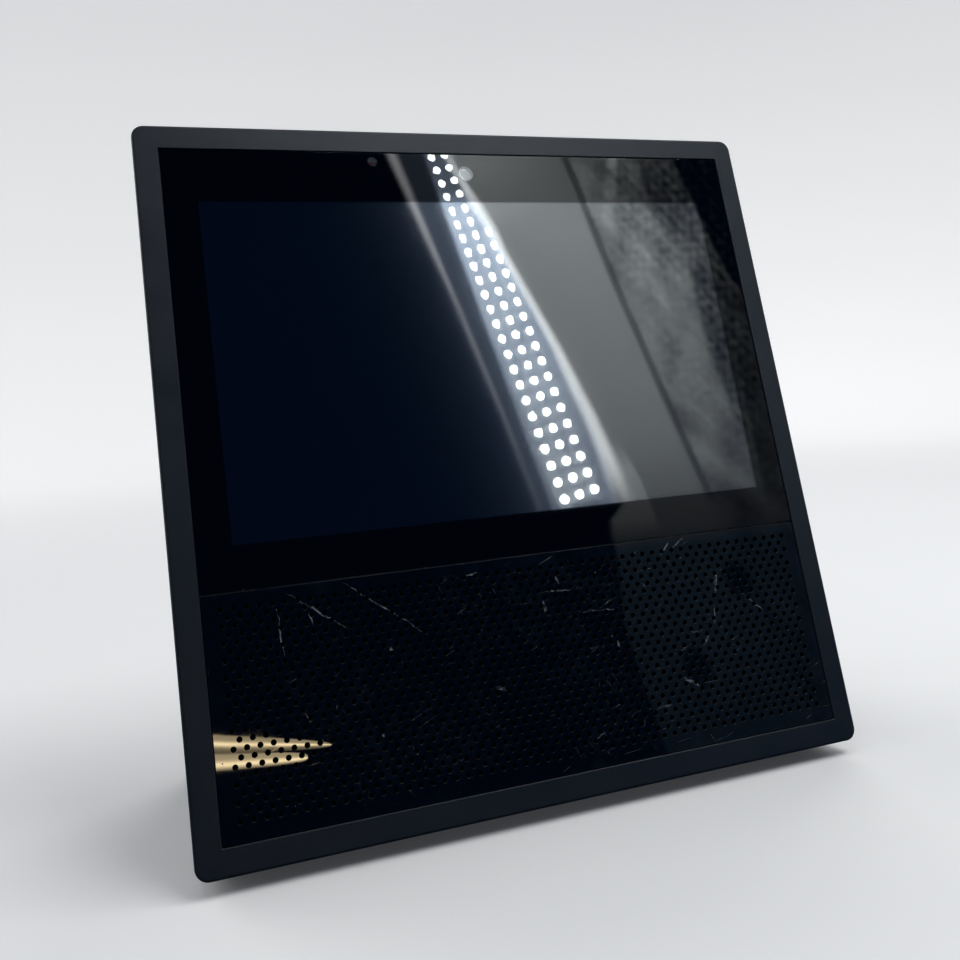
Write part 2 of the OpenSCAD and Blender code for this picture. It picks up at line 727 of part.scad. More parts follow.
module speaker_wires() color([0.5, 0.06, 0.05]) face() for (side = [-1, 1])
  wire([[side * 33, 17, 54.6], [side * 28, 30, 55.5], [side * 22, 50, 55], [side * 22, 60, 55],
    [side * 20, 66, 59], [side * 14 - 6, 56, 66.5], [-28 + side * 2.4, 30, 68.5],
    [-30 + side * 2.4, 18.1, 71], [-30 + side * 2.4, 18.1, 73.5]], 0.8);

module power_lead() color(rubber_black) face()
  wire([[9, 62.5, 20.5], [10, 64.5, 26], [18, 66, 42], [27, 65, 58], [30, 54, 67.5],
    [30, 30, 68.5], [30, 18.6, 70.5], [30, 18.1, 73.5]], 1.2);

bezel_frame();
cover_glass();
glass_mask();
glass_tape();
lcd_tape();
lcd_panel();
lcd_backlight();
display_chassis();
ribbon_cables();
camera_module();
camera_lens();
light_sensor();
sensor_board();
speaker_grille();
grille_cloth();
speaker_gasket();
speaker_baffle();
speaker_tub();
basket(-1);  // left_basket
motor(-1);  // left_motor
surround(-1);  // left_surround
spider(-1);  // left_spider
cone(-1);  // left_cone
dust_cap(-1);  // left_dust_cap
voice_coil(-1);  // left_voice_coil
basket(1);  // right_basket
motor(1);  // right_motor
surround(1);  // right_surround
spider(1);  // right_spider
cone(1);  // right_cone
dust_cap(1);  // right_dust_cap
voice_coil(1);  // right_voice_coil
main_board();
board_chips();
shield_cans();
board_connectors();
thermal_pad();
heat_sink();
wifi_antennas();
top_board();
microphones();
microphone_gaskets();
switch_bodies();
plunger(-button_pitch);  // plunger_volume_down
plunger(0);  // plunger_mute
plunger(button_pitch);  // plunger_volume_up
button(-button_pitch);  // button_volume_down
button(0);  // button_mute
button(button_pitch);  // button_volume_up
rear_housing();
base_plate();
rubber_foot();
power_jack();
jack_board();
frame_screws();
driver_screws();
board_screws();
base_screws();
speaker_wires();
power_lead();
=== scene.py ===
"""The looks of the smart display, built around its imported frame.

Lengths are in millimetres while a mesh is made and in metres once it is placed. Most pieces are made
in the face frame: x to the right, y into the body and z up the face, from the face's lower front edge.
"""

import json
from math import atan2, cos, hypot, pi, radians, sin, tan

import bmesh
import bpy
import numpy as np
from mathutils import Matrix, Vector


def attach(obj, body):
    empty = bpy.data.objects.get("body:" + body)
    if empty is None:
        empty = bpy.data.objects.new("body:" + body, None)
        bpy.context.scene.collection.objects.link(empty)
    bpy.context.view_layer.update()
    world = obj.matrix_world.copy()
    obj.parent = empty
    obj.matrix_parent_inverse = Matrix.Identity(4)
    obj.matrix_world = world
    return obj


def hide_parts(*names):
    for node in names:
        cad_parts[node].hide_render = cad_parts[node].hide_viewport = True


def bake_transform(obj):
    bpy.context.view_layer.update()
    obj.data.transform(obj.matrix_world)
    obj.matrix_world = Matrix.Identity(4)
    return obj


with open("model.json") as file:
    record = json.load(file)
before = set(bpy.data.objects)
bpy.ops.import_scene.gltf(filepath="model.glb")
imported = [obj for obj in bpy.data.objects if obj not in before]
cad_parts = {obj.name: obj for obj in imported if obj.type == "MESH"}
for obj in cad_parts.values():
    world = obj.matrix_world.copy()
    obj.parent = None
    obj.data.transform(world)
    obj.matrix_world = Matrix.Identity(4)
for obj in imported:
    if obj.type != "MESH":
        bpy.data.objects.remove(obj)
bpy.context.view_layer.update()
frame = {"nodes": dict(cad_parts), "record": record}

# ---- Frames and sizes ----

TILT = radians(12)
DEPTH, FRONT_Z = 90, 4.2  # body depth, and height of the face's lower front edge
FACE_MM = Matrix.Translation((0, -DEPTH / 2, FRONT_Z)) @ Matrix.Rotation(-TILT, 4, "X")
UPRIGHT = Matrix.Scale(0.001, 4)  # millimetres to metres
FACE = UPRIGHT @ FACE_MM
TO_FACE = FACE_MM.inverted()
INTO = Matrix.Rotation(radians(-90), 4, "X")  # turns z into the body

FACE_W = 187
HALF = FACE_W / 2
CORNER_R = 3.3
RIM = 6.5
WALL = 2.4
PANEL_HALF = 86.75
PANEL_Y = 0.2
LEDGE_Y = (1.6, 4)
BEZEL_DEPTH = 8.5
TOP_OPENING, LOW_OPENING = (-84.5, 84.5, 66.3, 178), (-83.6, 83.6, 10.2, 60.9)  # in the ledge
SIDE_START, SIDE_DRAFT = 1, radians(8)  # where the sides' taper starts, and its angle
GLASS_Z = (63.7, 180.25)
GLASS_BACK = 1.3
INK_FRONT, INK_BACK = 1.27, 1.4
WINDOW = (-77.8, 77.8, 74.8, 165.8)
CAMERA_Z, CAMERA_R = 174.7, 2.25
SENSOR_X, SENSOR_Z, SENSOR_R = -28, 178, 1.5
LCD = (-81, 81, 70.3, 168.3)
GRILLE_Z = (6.75, 63.4)
DRIVER_X, DRIVER_Z = 40, 35
BUTTON_X = {"volume_down": -20, "mute": 0, "volume_up": 20}
BUTTON_Y = 18
MIC_X, MIC_Y = (-75, -30, 30, 75), (12.5, 23.5)
FOOT_T, PLATE_T, FLOOR_TOP = 2.4, 2, 5.4
BASE_HOLE, BASE_R, PLATE_GAP = (75, -33, 40), 8, 0.15  # the opening's half width, front and back
JACK_Z = 16


def side_taper(y):
    """How far each side has come in at depth y."""
    return max(y - SIDE_START, 0) * tan(SIDE_DRAFT)


# ---- Mesh helpers ----


def at(x=0, y=0, z=0):
    return Matrix.Translation((x, y, z))


def linked(name, data):
    obj = bpy.data.objects.new(name, data)
    bpy.context.scene.collection.objects.link(obj)
    return obj


def outline(x0, x1, z0, z1, r, steps=6):
    """A rectangle with round corners, counterclockwise."""
    corners = ((x1 - r, z1 - r, 0), (x0 + r, z1 - r, 90), (x0 + r, z0 + r, 180), (x1 - r, z0 + r, 270))
    points = []
    for cx, cz, start in corners:
        for k in range(steps + 1):
            a = radians(start + 90 * k / steps)
            points.append((cx + r * cos(a), cz + r * sin(a)))
    return points


def inset_outline(x0, x1, z0, z1, r, inset, steps=6):
    return outline(x0 + inset, x1 - inset, z0 + inset, z1 - inset, max(r - inset, 0.02), steps)


def arc(r, steps=3):
    """The (inset, depth) of a rounded edge, from the flat end to the side."""
    turns = [radians(90 * k / steps) for k in range(steps + 1)]
    return [(r * (1 - sin(a)), r * (1 - cos(a))) for a in turns]


def loft(rings, closed=False):
    """A skin over rings of the same count, capped unless the rings close on themselves."""
    n, count = len(rings[0]), len(rings)
    verts = [p for ring in rings for p in ring]
    faces = []
    for i in range(count if closed else count - 1):
        a, b = i * n, (i + 1) % count * n
        faces += [(a + k, a + (k + 1) % n, b + (k + 1) % n, b + k) for k in range(n)]
    if not closed:
        faces += [tuple(reversed(range(n))), tuple(range((count - 1) * n, count * n))]
    return verts, faces


def edge_profile(start, end, first, last):
    """The (inset, depth) of a plate's edge from start to end, rounded by the radii first and last."""
    points = [(i, start + d) for i, d in arc(first)] if first else [(0, start)]
    return points + ([(i, end - d) for i, d in reversed(arc(last))] if last else [(0, end)])


def slab(x0, x1, z0, z1, y0, y1, r, front=0.0, back=0.0):
    """A plate across y with rounded front and back edges, in the face frame."""
    profile = edge_profile(y0, y1, front, back)
    return loft([[(x, y, z) for x, z in inset_outline(x0, x1, z0, z1, r, i)] for i, y in profile])


def turned(profile, segments=48):
    """A solid of revolution around z. Points of the profile are (radius, z)."""
    verts, rings, faces = [], [], []
    for r, z in profile:
        if r < 1e-6:
            rings.append([len(verts)] * segments)
            verts.append((0, 0, z))
        else:
            rings.append(list(range(len(verts), len(verts) + segments)))
            for k in range(segments):
                a = 2 * pi * k / segments
                verts.append((r * cos(a), r * sin(a), z))
    closed = profile[0][0] > 1e-6 and profile[-1][0] > 1e-6
    for i in range(len(rings) if closed else len(rings) - 1):
        a, b = rings[i], rings[(i + 1) % len(rings)]
        for k in range(segments):
            n = (k + 1) % segments
            corners = tuple(dict.fromkeys((a[k], a[n], b[n], b[k])))
            if len(corners) > 2:
                faces.append(corners)
    return verts, faces


def clean(mesh):
    """Merges double points and turns every face outwards."""
    bm = bmesh.new()
    bm.from_mesh(mesh)
    bmesh.ops.remove_doubles(bm, verts=bm.verts, dist=1e-4)
    bmesh.ops.recalc_face_normals(bm, faces=bm.faces)
    bm.to_mesh(mesh)
    bm.free()


def solid(name, shape, matrix=None):
    """A mesh object, still in millimetres, from (vertices, faces)."""
    mesh = bpy.data.meshes.new(name)
    mesh.from_pydata(shape[0], [], shape[1])
    clean(mesh)
    if matrix is not None:
        mesh.transform(matrix)
    return linked(name, mesh)


def combine(obj, others, operation="DIFFERENCE"):
    """Cuts the others from obj, or adds them to it, and removes them."""
    for other in others:
        m = obj.modifiers.new("cut", "BOOLEAN")
        m.operation, m.object, m.solver = operation, other, "EXACT"
    dg = bpy.context.evaluated_depsgraph_get()
    mesh = bpy.data.meshes.new_from_object(obj.evaluated_get(dg))
    obj.modifiers.clear()
    obj.data = mesh
    for other in others:
        bpy.data.objects.remove(other)
    return obj


def piece(obj, place, slot, body="root", stands_for="", sharp=40, bends=False, look=""):
    """Places a finished mesh, gives it the slot's material, hangs it on its body's empty unless bends is set,
    and hides the CAD node that it stands for. A `look` overrides the slot's.
    """
    if isinstance(obj, tuple):
        obj = solid(*obj)
    obj.data.transform(place)
    obj.data.materials.clear()
    obj.data.materials.append(MATERIALS[look or slot])
    obj.data.shade_smooth()
    obj.data.set_sharp_from_angle(angle=radians(sharp))
    obj.modifiers.new("normals", "WEIGHTED_NORMAL").keep_sharp = True
    if not bends:
        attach(obj, body)
    if stands_for:
        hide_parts(stands_for)
    return obj


# ---- Materials ----


class Look:
    """A procedural material, built a node at a time. Its textures use the place on the object, in metres."""

    def __init__(self, name, base, rough, metallic=0.0, **uniform):
        self.name = name
        self.material = bpy.data.materials.new(name)
        self.material.use_nodes = True
        self.tree = self.material.node_tree
        self.shader = self.tree.nodes["Principled BSDF"]
        values = {"Base Color": (*base, 1), "Roughness": rough, "Metallic": metallic, **uniform}
        for key, value in values.items():
            self.shader.inputs[key.replace("_", " ")].default_value = value
        self.place = self.node("TexCoord").outputs["Object"]

    def link(self, key, output):
        self.tree.links.new(output, self.shader.inputs[key])

    def node(self, kind, inputs=(), **settings):
        n = self.tree.nodes.new("ShaderNode" + kind)
        for key, value in settings.items():
            setattr(n, key, value)
        for key, value in dict(inputs).items():
            if isinstance(value, bpy.types.NodeSocket):
                self.tree.links.new(value, n.inputs[key])
            else:
                n.inputs[key].default_value = value
        return n

    def noise(self, size, detail=2.0, where=None, rough=0.5):
        """Noise whose features are about size metres wide, from 0 to 1."""
        inputs = {"Vector": where or self.place, "Scale": 1 / size, "Detail": detail, "Roughness": rough}
        return self.node("TexNoise", inputs).outputs["Fac"]

    def mapped(self, turn=(0, 0, 0), scale=(1, 1, 1), where=None):
        inputs = {"Vector": where or self.place, "Rotation": turn, "Scale": scale}
        return self.node("Mapping", inputs).outputs["Vector"]

    def math(self, operation, a, b=0.0):
        return self.node("Math", {0: a, 1: b}, operation=operation).outputs[0]

    def highest(self, first, *others):
        for other in others:
            first = self.math("MAXIMUM", first, other)
        return first

    def vector(self, operation, a, b=(0, 0, 0)):
        """A vector, or a number for the operations that give one. SCALE takes a number as b."""
        inputs = {0: a, "Scale" if operation == "SCALE" else 1: b}
        n = self.node("VectorMath", inputs, operation=operation)
        return n.outputs["Value" if operation in ("LENGTH", "DISTANCE", "DOT_PRODUCT") else "Vector"]

    def share(self, value, start, end):
        """0 where value is at start, and 1 at end."""
        return self.spread(value, 0.0, 1.0, start, end)

    def spread(self, value, low, high, start=0.3, end=0.7):
        """Maps value from start..end to low..high, and holds it there."""
        inputs = {"Value": value, "From Min": start, "From Max": end, "To Min": low, "To Max": high}
        return self.node("MapRange", inputs).outputs["Result"]

    def roughness(self, value, low, high, *source_range):
        self.link("Roughness", self.spread(value, low, high, *source_range))

    def ramp(self, value, *stops):
        ramp = self.node("ValToRGB", {"Fac": value})
        elements = ramp.color_ramp.elements
        while len(elements) < len(stops):
            elements.new(0.5)
        for element, (position, colour) in zip(elements, stops):
            element.position, element.color = position, (*colour, 1)
        return ramp.outputs["Color"]

    def mix(self, share, a, b):
        inputs = {0: share}
        for index, value in ((6, a), (7, b)):
            inputs[index] = value if isinstance(value, bpy.types.NodeSocket) else (*value, 1)
        return self.node("Mix", inputs, data_type="RGBA").outputs[2]

    def relief(self, height, depth):
        """Adds a bump of the given depth in metres on what is there."""
        bump = self.node("Bump", {"Height": height, "Distance": depth})
        if self.shader.inputs["Normal"].is_linked:
            self.tree.links.new(self.shader.inputs["Normal"].links[0].from_socket, bump.inputs["Normal"])
        self.link("Normal", bump.outputs["Normal"])


def shade(colour, factor):
    return tuple(min(1.0, c * factor) for c in colour)


def moulded(name, base, rough, grain=0.00025, depth=0.000012, cloud=0.03, change=0.1, **uniform):
    """Moulded plastic, rubber, foam and the like: fine grain, and soft changes of colour and gloss."""
    look = Look(name, base, rough, **uniform)
    clouds = look.noise(cloud, 4)
    look.link("Base Color", look.ramp(clouds, (0.3, shade(base, 1 - change)), (0.7, shade(base, 1 + change))))
    look.roughness(look.noise(cloud / 4, 3), rough - 0.05, rough + 0.06)
    look.relief(look.noise(grain, 1.5), depth)
    return look


def metal(name, base, rough, brushed=(0.02, 0.0003, 0.02), **uniform):
    """Plated or rolled metal, with fine lines along its grain and dull patches."""
    look = Look(name, base, rough, metallic=1.0, **uniform)
    lines = look.noise(1, 3, look.mapped(scale=[1 / s for s in brushed]))
    patches = look.noise(0.008, 3)
    look.link("Base Color", look.ramp(patches, (0.3, shade(base, 0.86)), (0.7, shade(base, 1.06))))
    both = look.math("ADD", lines, patches)
    look.roughness(both, rough - 0.08, rough + 0.12, 0.7, 1.3)
    look.relief(lines, 0.000004)
    return look


def woven(name, base, rough, pitch=0.0004, **uniform):
    """A plain weave: two sets of threads that cross."""
    look = Look(name, base, rough, **uniform)
    inputs = {"Vector": look.mapped((TILT, 0, 0)), "Scale": 1 / (pitch * 3.2), "Distortion": 0.4}
    threads = [look.node("TexWave", inputs, bands_direction=axis).outputs["Fac"] for axis in ("X", "Z")]
    weave = look.highest(*threads)
    look.link("Base Color", look.ramp(weave, (0.2, shade(base, 0.35)), (0.9, shade(base, 1.25))))
    look.roughness(look.noise(0.004), rough - 0.08, rough + 0.05)
    look.relief(weave, 0.00006)
    return look


def circuit(name, base):
    """A circuit board: copper tracks under a solder mask."""
    look = Look(name, base, 0.35)
    where = look.mapped((TILT, 0, 0))
    inputs = {"Vector": where, "Scale": 170.0, "Randomness": 0.85}
    cells = look.node("TexVoronoi", inputs, feature="DISTANCE_TO_EDGE", distance="EUCLIDEAN")
    tracks = look.spread(cells.outputs["Distance"], 1.0, 0.0, 0.02, 0.05)
    look.link("Base Color", look.mix(tracks, base, shade(base, 2.4)))
    look.roughness(look.noise(0.01), 0.28, 0.45)
    look.relief(tracks, 0.00002)
    return look


def slate_plastic():
    look = moulded("slate_plastic", (0.009, 0.0155, 0.0235), 0.42, grain=0.00022, depth=0.000016, change=0.06,
                   Specular_IOR_Level=0.3)
    wear = look.share(look.noise(0.0016, 4, rough=0.75), 0.69, 0.76)
    base = look.shader.inputs["Base Color"].links[0].from_socket
    look.link("Base Color", look.mix(look.math("MULTIPLY", wear, 0.22), base, (0.16, 0.17, 0.18)))
    return look


def marks(look, angle, length, width, start):
    """Long thin marks at an angle on the face, from 0 to 1, a little bent."""
    drift = look.node("TexNoise", {"Vector": look.place, "Scale": 35.0, "Detail": 1.0}).outputs["Color"]
    bent = look.vector("ADD", look.place, look.vector("SCALE", drift, 0.004))
    turned_to = look.mapped((0, radians(angle), 0), where=look.mapped((TILT, 0, 0), where=bent))
    long = look.mapped(scale=(1 / length, 1, 1 / width), where=turned_to)
    return look.share(look.noise(1, 2, long, 0.6), start, start + 0.045)


def stroke(look, x0, z0, x1, z1, width):
    """One scratch on the face from (x0, z0) to (x1, z1), from 0 to 1, a little bent."""
    drift = look.node("TexNoise", {"Vector": look.place, "Scale": 300.0, "Detail": 2.0}).outputs["Color"]
    drift = look.vector("SUBTRACT", drift, (0.5, 0.5, 0.5))
    turn = Matrix.Rotation(-TILT, 3, "X") @ Matrix.Rotation(-atan2(z1 - z0, x1 - x0), 3, "Y")
    inputs = {
        "Vector": look.vector("ADD", look.place, look.vector("SCALE", drift, 0.0016)),
        "Location": FACE @ Vector(((x0 + x1) / 2, PANEL_Y, (z0 + z1) / 2)),
        "Rotation": turn.to_euler(),
        "Scale": (hypot(x1 - x0, z1 - z0) / 2000, 0.01, width / 2000),
    }
    within = look.node("Mapping", inputs, vector_type="TEXTURE").outputs["Vector"]
    return look.spread(look.vector("LENGTH", within), 1.0, 0.0, 0.75, 1.0)


# Scratches on the grille, in millimetres on the face: both ends and the width
SCRATCHES = (
    (-66.2, 62.0, -51.1, 50.7, 0.45), (-52.1, 62.8, -30.5, 46.6, 0.35), (-68.7, 57.5, -68.0, 46.6, 0.4),
    (-60.6, 56.4, -60.3, 53.0, 0.4), (-18.4, 60.1, -14.9, 60.7, 0.6), (2.4, 51.2, 2.8, 46.9, 0.8),
    (1.9, 53.4, 11.4, 52.7, 0.35), (12.6, 46.4, 24.9, 45.9, 0.4), (7.2, 57.0, 7.8, 54.8, 0.9),
    (40.3, 58.3, 43.8, 62.4, 0.5), (44.3, 60.3, 48.8, 63.0, 0.4), (58.2, 53.6, 55.4, 45.6, 0.9),
    (55.2, 43.8, 53.8, 37.6, 0.4), (51.0, 35.5, 48.9, 32.5, 0.8), (63.6, 46.1, 71.2, 38.9, 0.5),
    (40.4, 25.1, 45.3, 22.2, 0.9), (30.6, 18.2, 35.5, 18.9, 0.6), (-14.9, 31.5, -12.0, 30.1, 1.2),
    (22.7, 35.2, 22.3, 37.9, 0.7), (-41.4, 45.2, -41.0, 43.6, 0.9), (-46.3, 24.8, -45.9, 24.0, 0.8),
)


def grille_black():
    """Piano black with scratches, rubbed patches and dust from use, and duller edges around the holes."""
    look = Look("grille_black", (0.003, 0.0034, 0.0045), 0.05)
    sorts = ((24, 0.012, 0.00034, 0.7), (-62, 0.007, 0.0003, 0.71), (5, 0.016, 0.00032, 0.71),
             (75, 0.006, 0.0004, 0.72))
    fine = look.highest(*[marks(look, *sort) for sort in sorts])
    patches = look.share(look.noise(0.03, 3), 0.45, 0.6)
    for x, z, reach in ((10, 50, 0.03), (45, 52, 0.02), (52, 28, 0.02)):
        off = look.vector("DISTANCE", look.place, FACE @ Vector((x, 0, z)))
        patches = look.highest(patches, look.spread(off, 1.0, 0.0, reach * 0.5, reach))
    specks = look.node("TexVoronoi", {"Vector": look.place, "Scale": 260.0}).outputs["Distance"]
    dust = look.math("MULTIPLY", look.spread(specks, 1.0, 0.0, 0.03, 0.055),
                     look.share(look.noise(0.006, 1), 0.58, 0.62))
    scuffs = look.math("MULTIPLY", look.share(look.noise(0.0011, 5, rough=0.8), 0.64, 0.74),
                       look.spread(look.noise(0.011, 2), 0.0, 0.8, 0.6, 0.66))
    deep = look.highest(*[stroke(look, *scratch) for scratch in SCRATCHES])
    broken = look.spread(look.noise(0.0012, 3, rough=0.7), 0.1, 1.0, 0.42, 0.58)
    rubbed, scratched = look.math("MULTIPLY", fine, patches), look.math("MULTIPLY", deep, broken)
    worn = look.highest(rubbed, dust, scuffs, scratched)
    film = look.math("MULTIPLY", look.share(look.noise(0.005, 4, rough=0.7), 0.45, 0.75), patches)
    base = look.mix(film, (0.0008, 0.0018, 0.0036), (0.006, 0.0095, 0.013))
    look.link("Base Color", look.mix(look.math("MULTIPLY", worn, 0.7), base, (0.26, 0.26, 0.27)))
    normal = look.node("TexCoord").outputs["Normal"]
    facing = look.vector("DOT_PRODUCT", normal, FACE.to_3x3() @ Vector((0, -1000, 0)))
    smears = look.spread(look.noise(0.012, 4, rough=0.65), 0.008, 0.035, 0.4, 0.7)
    rough = look.math("ADD", smears, look.math("MULTIPLY", worn, 0.35))
    look.link("Roughness", look.highest(rough, look.spread(facing, 0.45, 0.0, 0.9, 0.995)))
    look.relief(worn, 0.000002)
    return look


def cover_glass():
    look = Look("cover_glass", (0.97, 0.98, 0.985), 0.0, IOR=1.5, Transmission_Weight=1.0)
    look.roughness(look.noise(0.014, 5, rough=0.65), 0.0, 0.03, 0.5, 0.75)
    return look


def lcd_polariser():
    look = Look("lcd_polariser", (0.0004, 0.0009, 0.0022), 0.05, IOR=1.62)
    tones = (0.3, (0.0003, 0.0008, 0.0020)), (0.7, (0.0005, 0.0011, 0.0026))
    look.link("Base Color", look.ramp(look.noise(0.06, 2), *tones))
    look.roughness(look.noise(0.02, 3), 0.04, 0.07)
    look.relief(look.noise(0.03, 1), 0.00001)
    return look


MATERIALS = {look.name: look.material for look in (
    slate_plastic(),
    moulded("button_plastic", (0.009, 0.0145, 0.0215), 0.38, grain=0.0002, depth=0.00001,
            Specular_IOR_Level=0.3),
    cover_glass(),
    moulded("black_ink", (0.0004, 0.0005, 0.0008), 0.6, grain=0.0004, depth=0.000001, Specular_IOR_Level=0.0),
    lcd_polariser(),
    grille_black(),
    woven("acoustic_cloth", (0.005, 0.005, 0.0055), 0.9, 0.00022),
    moulded("foam", (0.05, 0.05, 0.055), 0.9, grain=0.0005, depth=0.0001),
    moulded("black_rubber", (0.016, 0.016, 0.0175), 0.62, grain=0.0005, depth=0.00003),
    moulded("black_plastic", (0.016, 0.017, 0.019), 0.5, grain=0.0003, depth=0.00002),
    metal("pressed_steel", (0.6, 0.61, 0.63), 0.35),
    metal("screw_steel", (0.42, 0.43, 0.45), 0.35, (0.001, 0.0002, 0.001)),
    metal("magnet", (0.3, 0.3, 0.32), 0.45, (0.002, 0.002, 0.002)),
    woven("spider_cloth", (0.5, 0.36, 0.14), 0.85, 0.0005),
    moulded("cone_paper", (0.035, 0.035, 0.04), 0.75, grain=0.0004, depth=0.00005, change=0.2),
    metal("copper_coil", (0.72, 0.36, 0.16), 0.3, (0.004, 0.0002, 0.004)),
    circuit("circuit_board", (0.02, 0.1, 0.06)),
    moulded("chip_black", (0.02, 0.02, 0.022), 0.55, grain=0.0002, depth=0.00001),
    moulded("connector", (0.62, 0.58, 0.5), 0.5),
    moulded("thermal_silicone", (0.35, 0.45, 0.6), 0.7, grain=0.0006, depth=0.00003),
    metal("heat_sink", (0.08, 0.08, 0.09), 0.45),
    moulded("polyimide", (0.5, 0.22, 0.04), 0.3, grain=0.0008, depth=0.000004),
    moulded("lens_glass", (0.27, 0.275, 0.285), 0.25, grain=0.002, depth=0.000001, IOR=2.0),
    moulded("sensor_filter", (0.05, 0.006, 0.005), 0.1, grain=0.002, depth=0.000002),
    metal("mic_metal", (0.75, 0.66, 0.4), 0.35),
    moulded("antenna", (0.1, 0.1, 0.11), 0.5),
    moulded("wire_red", (0.35, 0.02, 0.02), 0.45),
    moulded("wire_black", (0.02, 0.02, 0.022), 0.45),
    moulded("camera_ring", (0.36, 0.365, 0.37), 0.4, grain=0.0003, depth=0.000003),
    moulded("mark_paint", (0.32, 0.34, 0.36), 0.55, grain=0.0002, depth=0.000004, change=0.05),
    metal("socket_steel", (0.66, 0.66, 0.64), 0.25, (0.0008, 0.004, 0.0008)),
)}

for part in frame["record"]["subparts"]:
    node = frame["nodes"][part["node"]]
    node.data.materials.clear()
    node.data.materials.append(MATERIALS[part["material_slot"]])

# ---- Front frame ----


def bezel():
    """The frame: a swept rim with a rounded front edge, a ledge behind the panels and screw bosses."""
    outer_fillet, inner_chamfer, rear_chamfer = 0.7, 0.12, 0.25
    profile = arc(outer_fillet, 5)[::-1]
    profile += [(RIM - inner_chamfer, 0), (RIM, inner_chamfer), (RIM, LEDGE_Y[1]), (WALL, LEDGE_Y[1]),
                (WALL, BEZEL_DEPTH), (rear_chamfer, BEZEL_DEPTH), (0, BEZEL_DEPTH - rear_chamfer),
                (0, SIDE_START)]
    rings = []
    for inset, y in profile:
        r = max(CORNER_R - inset, 0.3)
        half = HALF - inset - (side_taper(y) if inset < WALL else 0)
        box = (-half, half, inset, FACE_W - inset)
        rings.append([(x, y, z) for x, z in outline(*box, r, 8)])
    rim = solid("bezel_shell", loft(rings, closed=True))
    inset = RIM - 0.5  # a little overlap with the rim
    ledge = solid("ledge", slab(inset - HALF, HALF - inset, inset, FACE_W - inset, *LEDGE_Y, 0.3))
    combine(ledge, [solid("opening", slab(*box, 0, 6, 1)) for box in (TOP_OPENING, LOW_OPENING)])
    boss = [(0, 5.0), (0.8, 5.0), (0.8, 6.5), (2.1, 6.5), (2.2, 6.4), (2.2, 3.7), (0, 3.7)]
    places = [(side * (HALF - 5.9), z) for side in (-1, 1) for z in (13, 57, 72, 120, 168)]
    places += [(-45, 181.3), (45, 181.3)]
    bosses = [solid("boss", turned(boss, 24), at(x, 0, z) @ INTO) for x, z in places]
    return combine(rim, [ledge, *bosses], "UNION")


piece(bezel(), FACE, "slate_plastic", stands_for="bezel_frame", sharp=35)

# ---- Glass and display ----

pane = slab(-PANEL_HALF, PANEL_HALF, *GLASS_Z, PANEL_Y, GLASS_BACK, 0.5, front=0.05, back=0.05)
piece(("glass_pane", pane), FACE, "cover_glass", stands_for="cover_glass", sharp=35)


def mask():
    """The black print on the back of the glass, with its window and two round openings."""
    edge = 0.03
    half = PANEL_HALF - edge
    sheet = slab(-half, half, GLASS_Z[0] + edge, GLASS_Z[1] - edge, INK_FRONT, INK_BACK, 0.4)
    openings = [solid("window", slab(*WINDOW, 0, 3, 0.5))]
    for x, z, r, segments in ((0, CAMERA_Z, CAMERA_R, 64), (SENSOR_X, SENSOR_Z, SENSOR_R, 48)):
        bore = turned([(0, 0), (r, 0), (r, 3), (0, 3)], segments)
        openings.append(solid("opening", bore, at(x, 0, z) @ INTO))
    return combine(solid("mask_print", sheet), openings)


piece(mask(), FACE, "black_ink", stands_for="glass_mask")
screen = slab(*LCD, 1.7, 3, 0.5, front=0.1, back=0.1)
piece(("screen", screen), FACE, "lcd_polariser", stands_for="lcd_panel")

barrel = [(0, 5.6), (3.4, 5.6), (3.4, 4.1), (2.8, 4.0), (2.8, 1.9), (2.65, 1.75), (1.68, 1.75), (1.62, 1.81),
          (1.62, 3.2), (0, 3.2)]
camera_place = FACE @ at(0, 0, CAMERA_Z) @ INTO
piece(("camera_barrel", turned(barrel, 64)), camera_place, "black_plastic", stands_for="camera_module",
      look="camera_ring")
lens = [(0, 1.74), (0.8, 1.75), (1.4, 1.77), (1.56, 1.8), (1.6, 1.86), (1.6, 3.1), (0, 3.1)]
piece(("lens", turned(lens, 48)), camera_place, "lens_glass", stands_for="camera_lens")

# ---- Grille ----


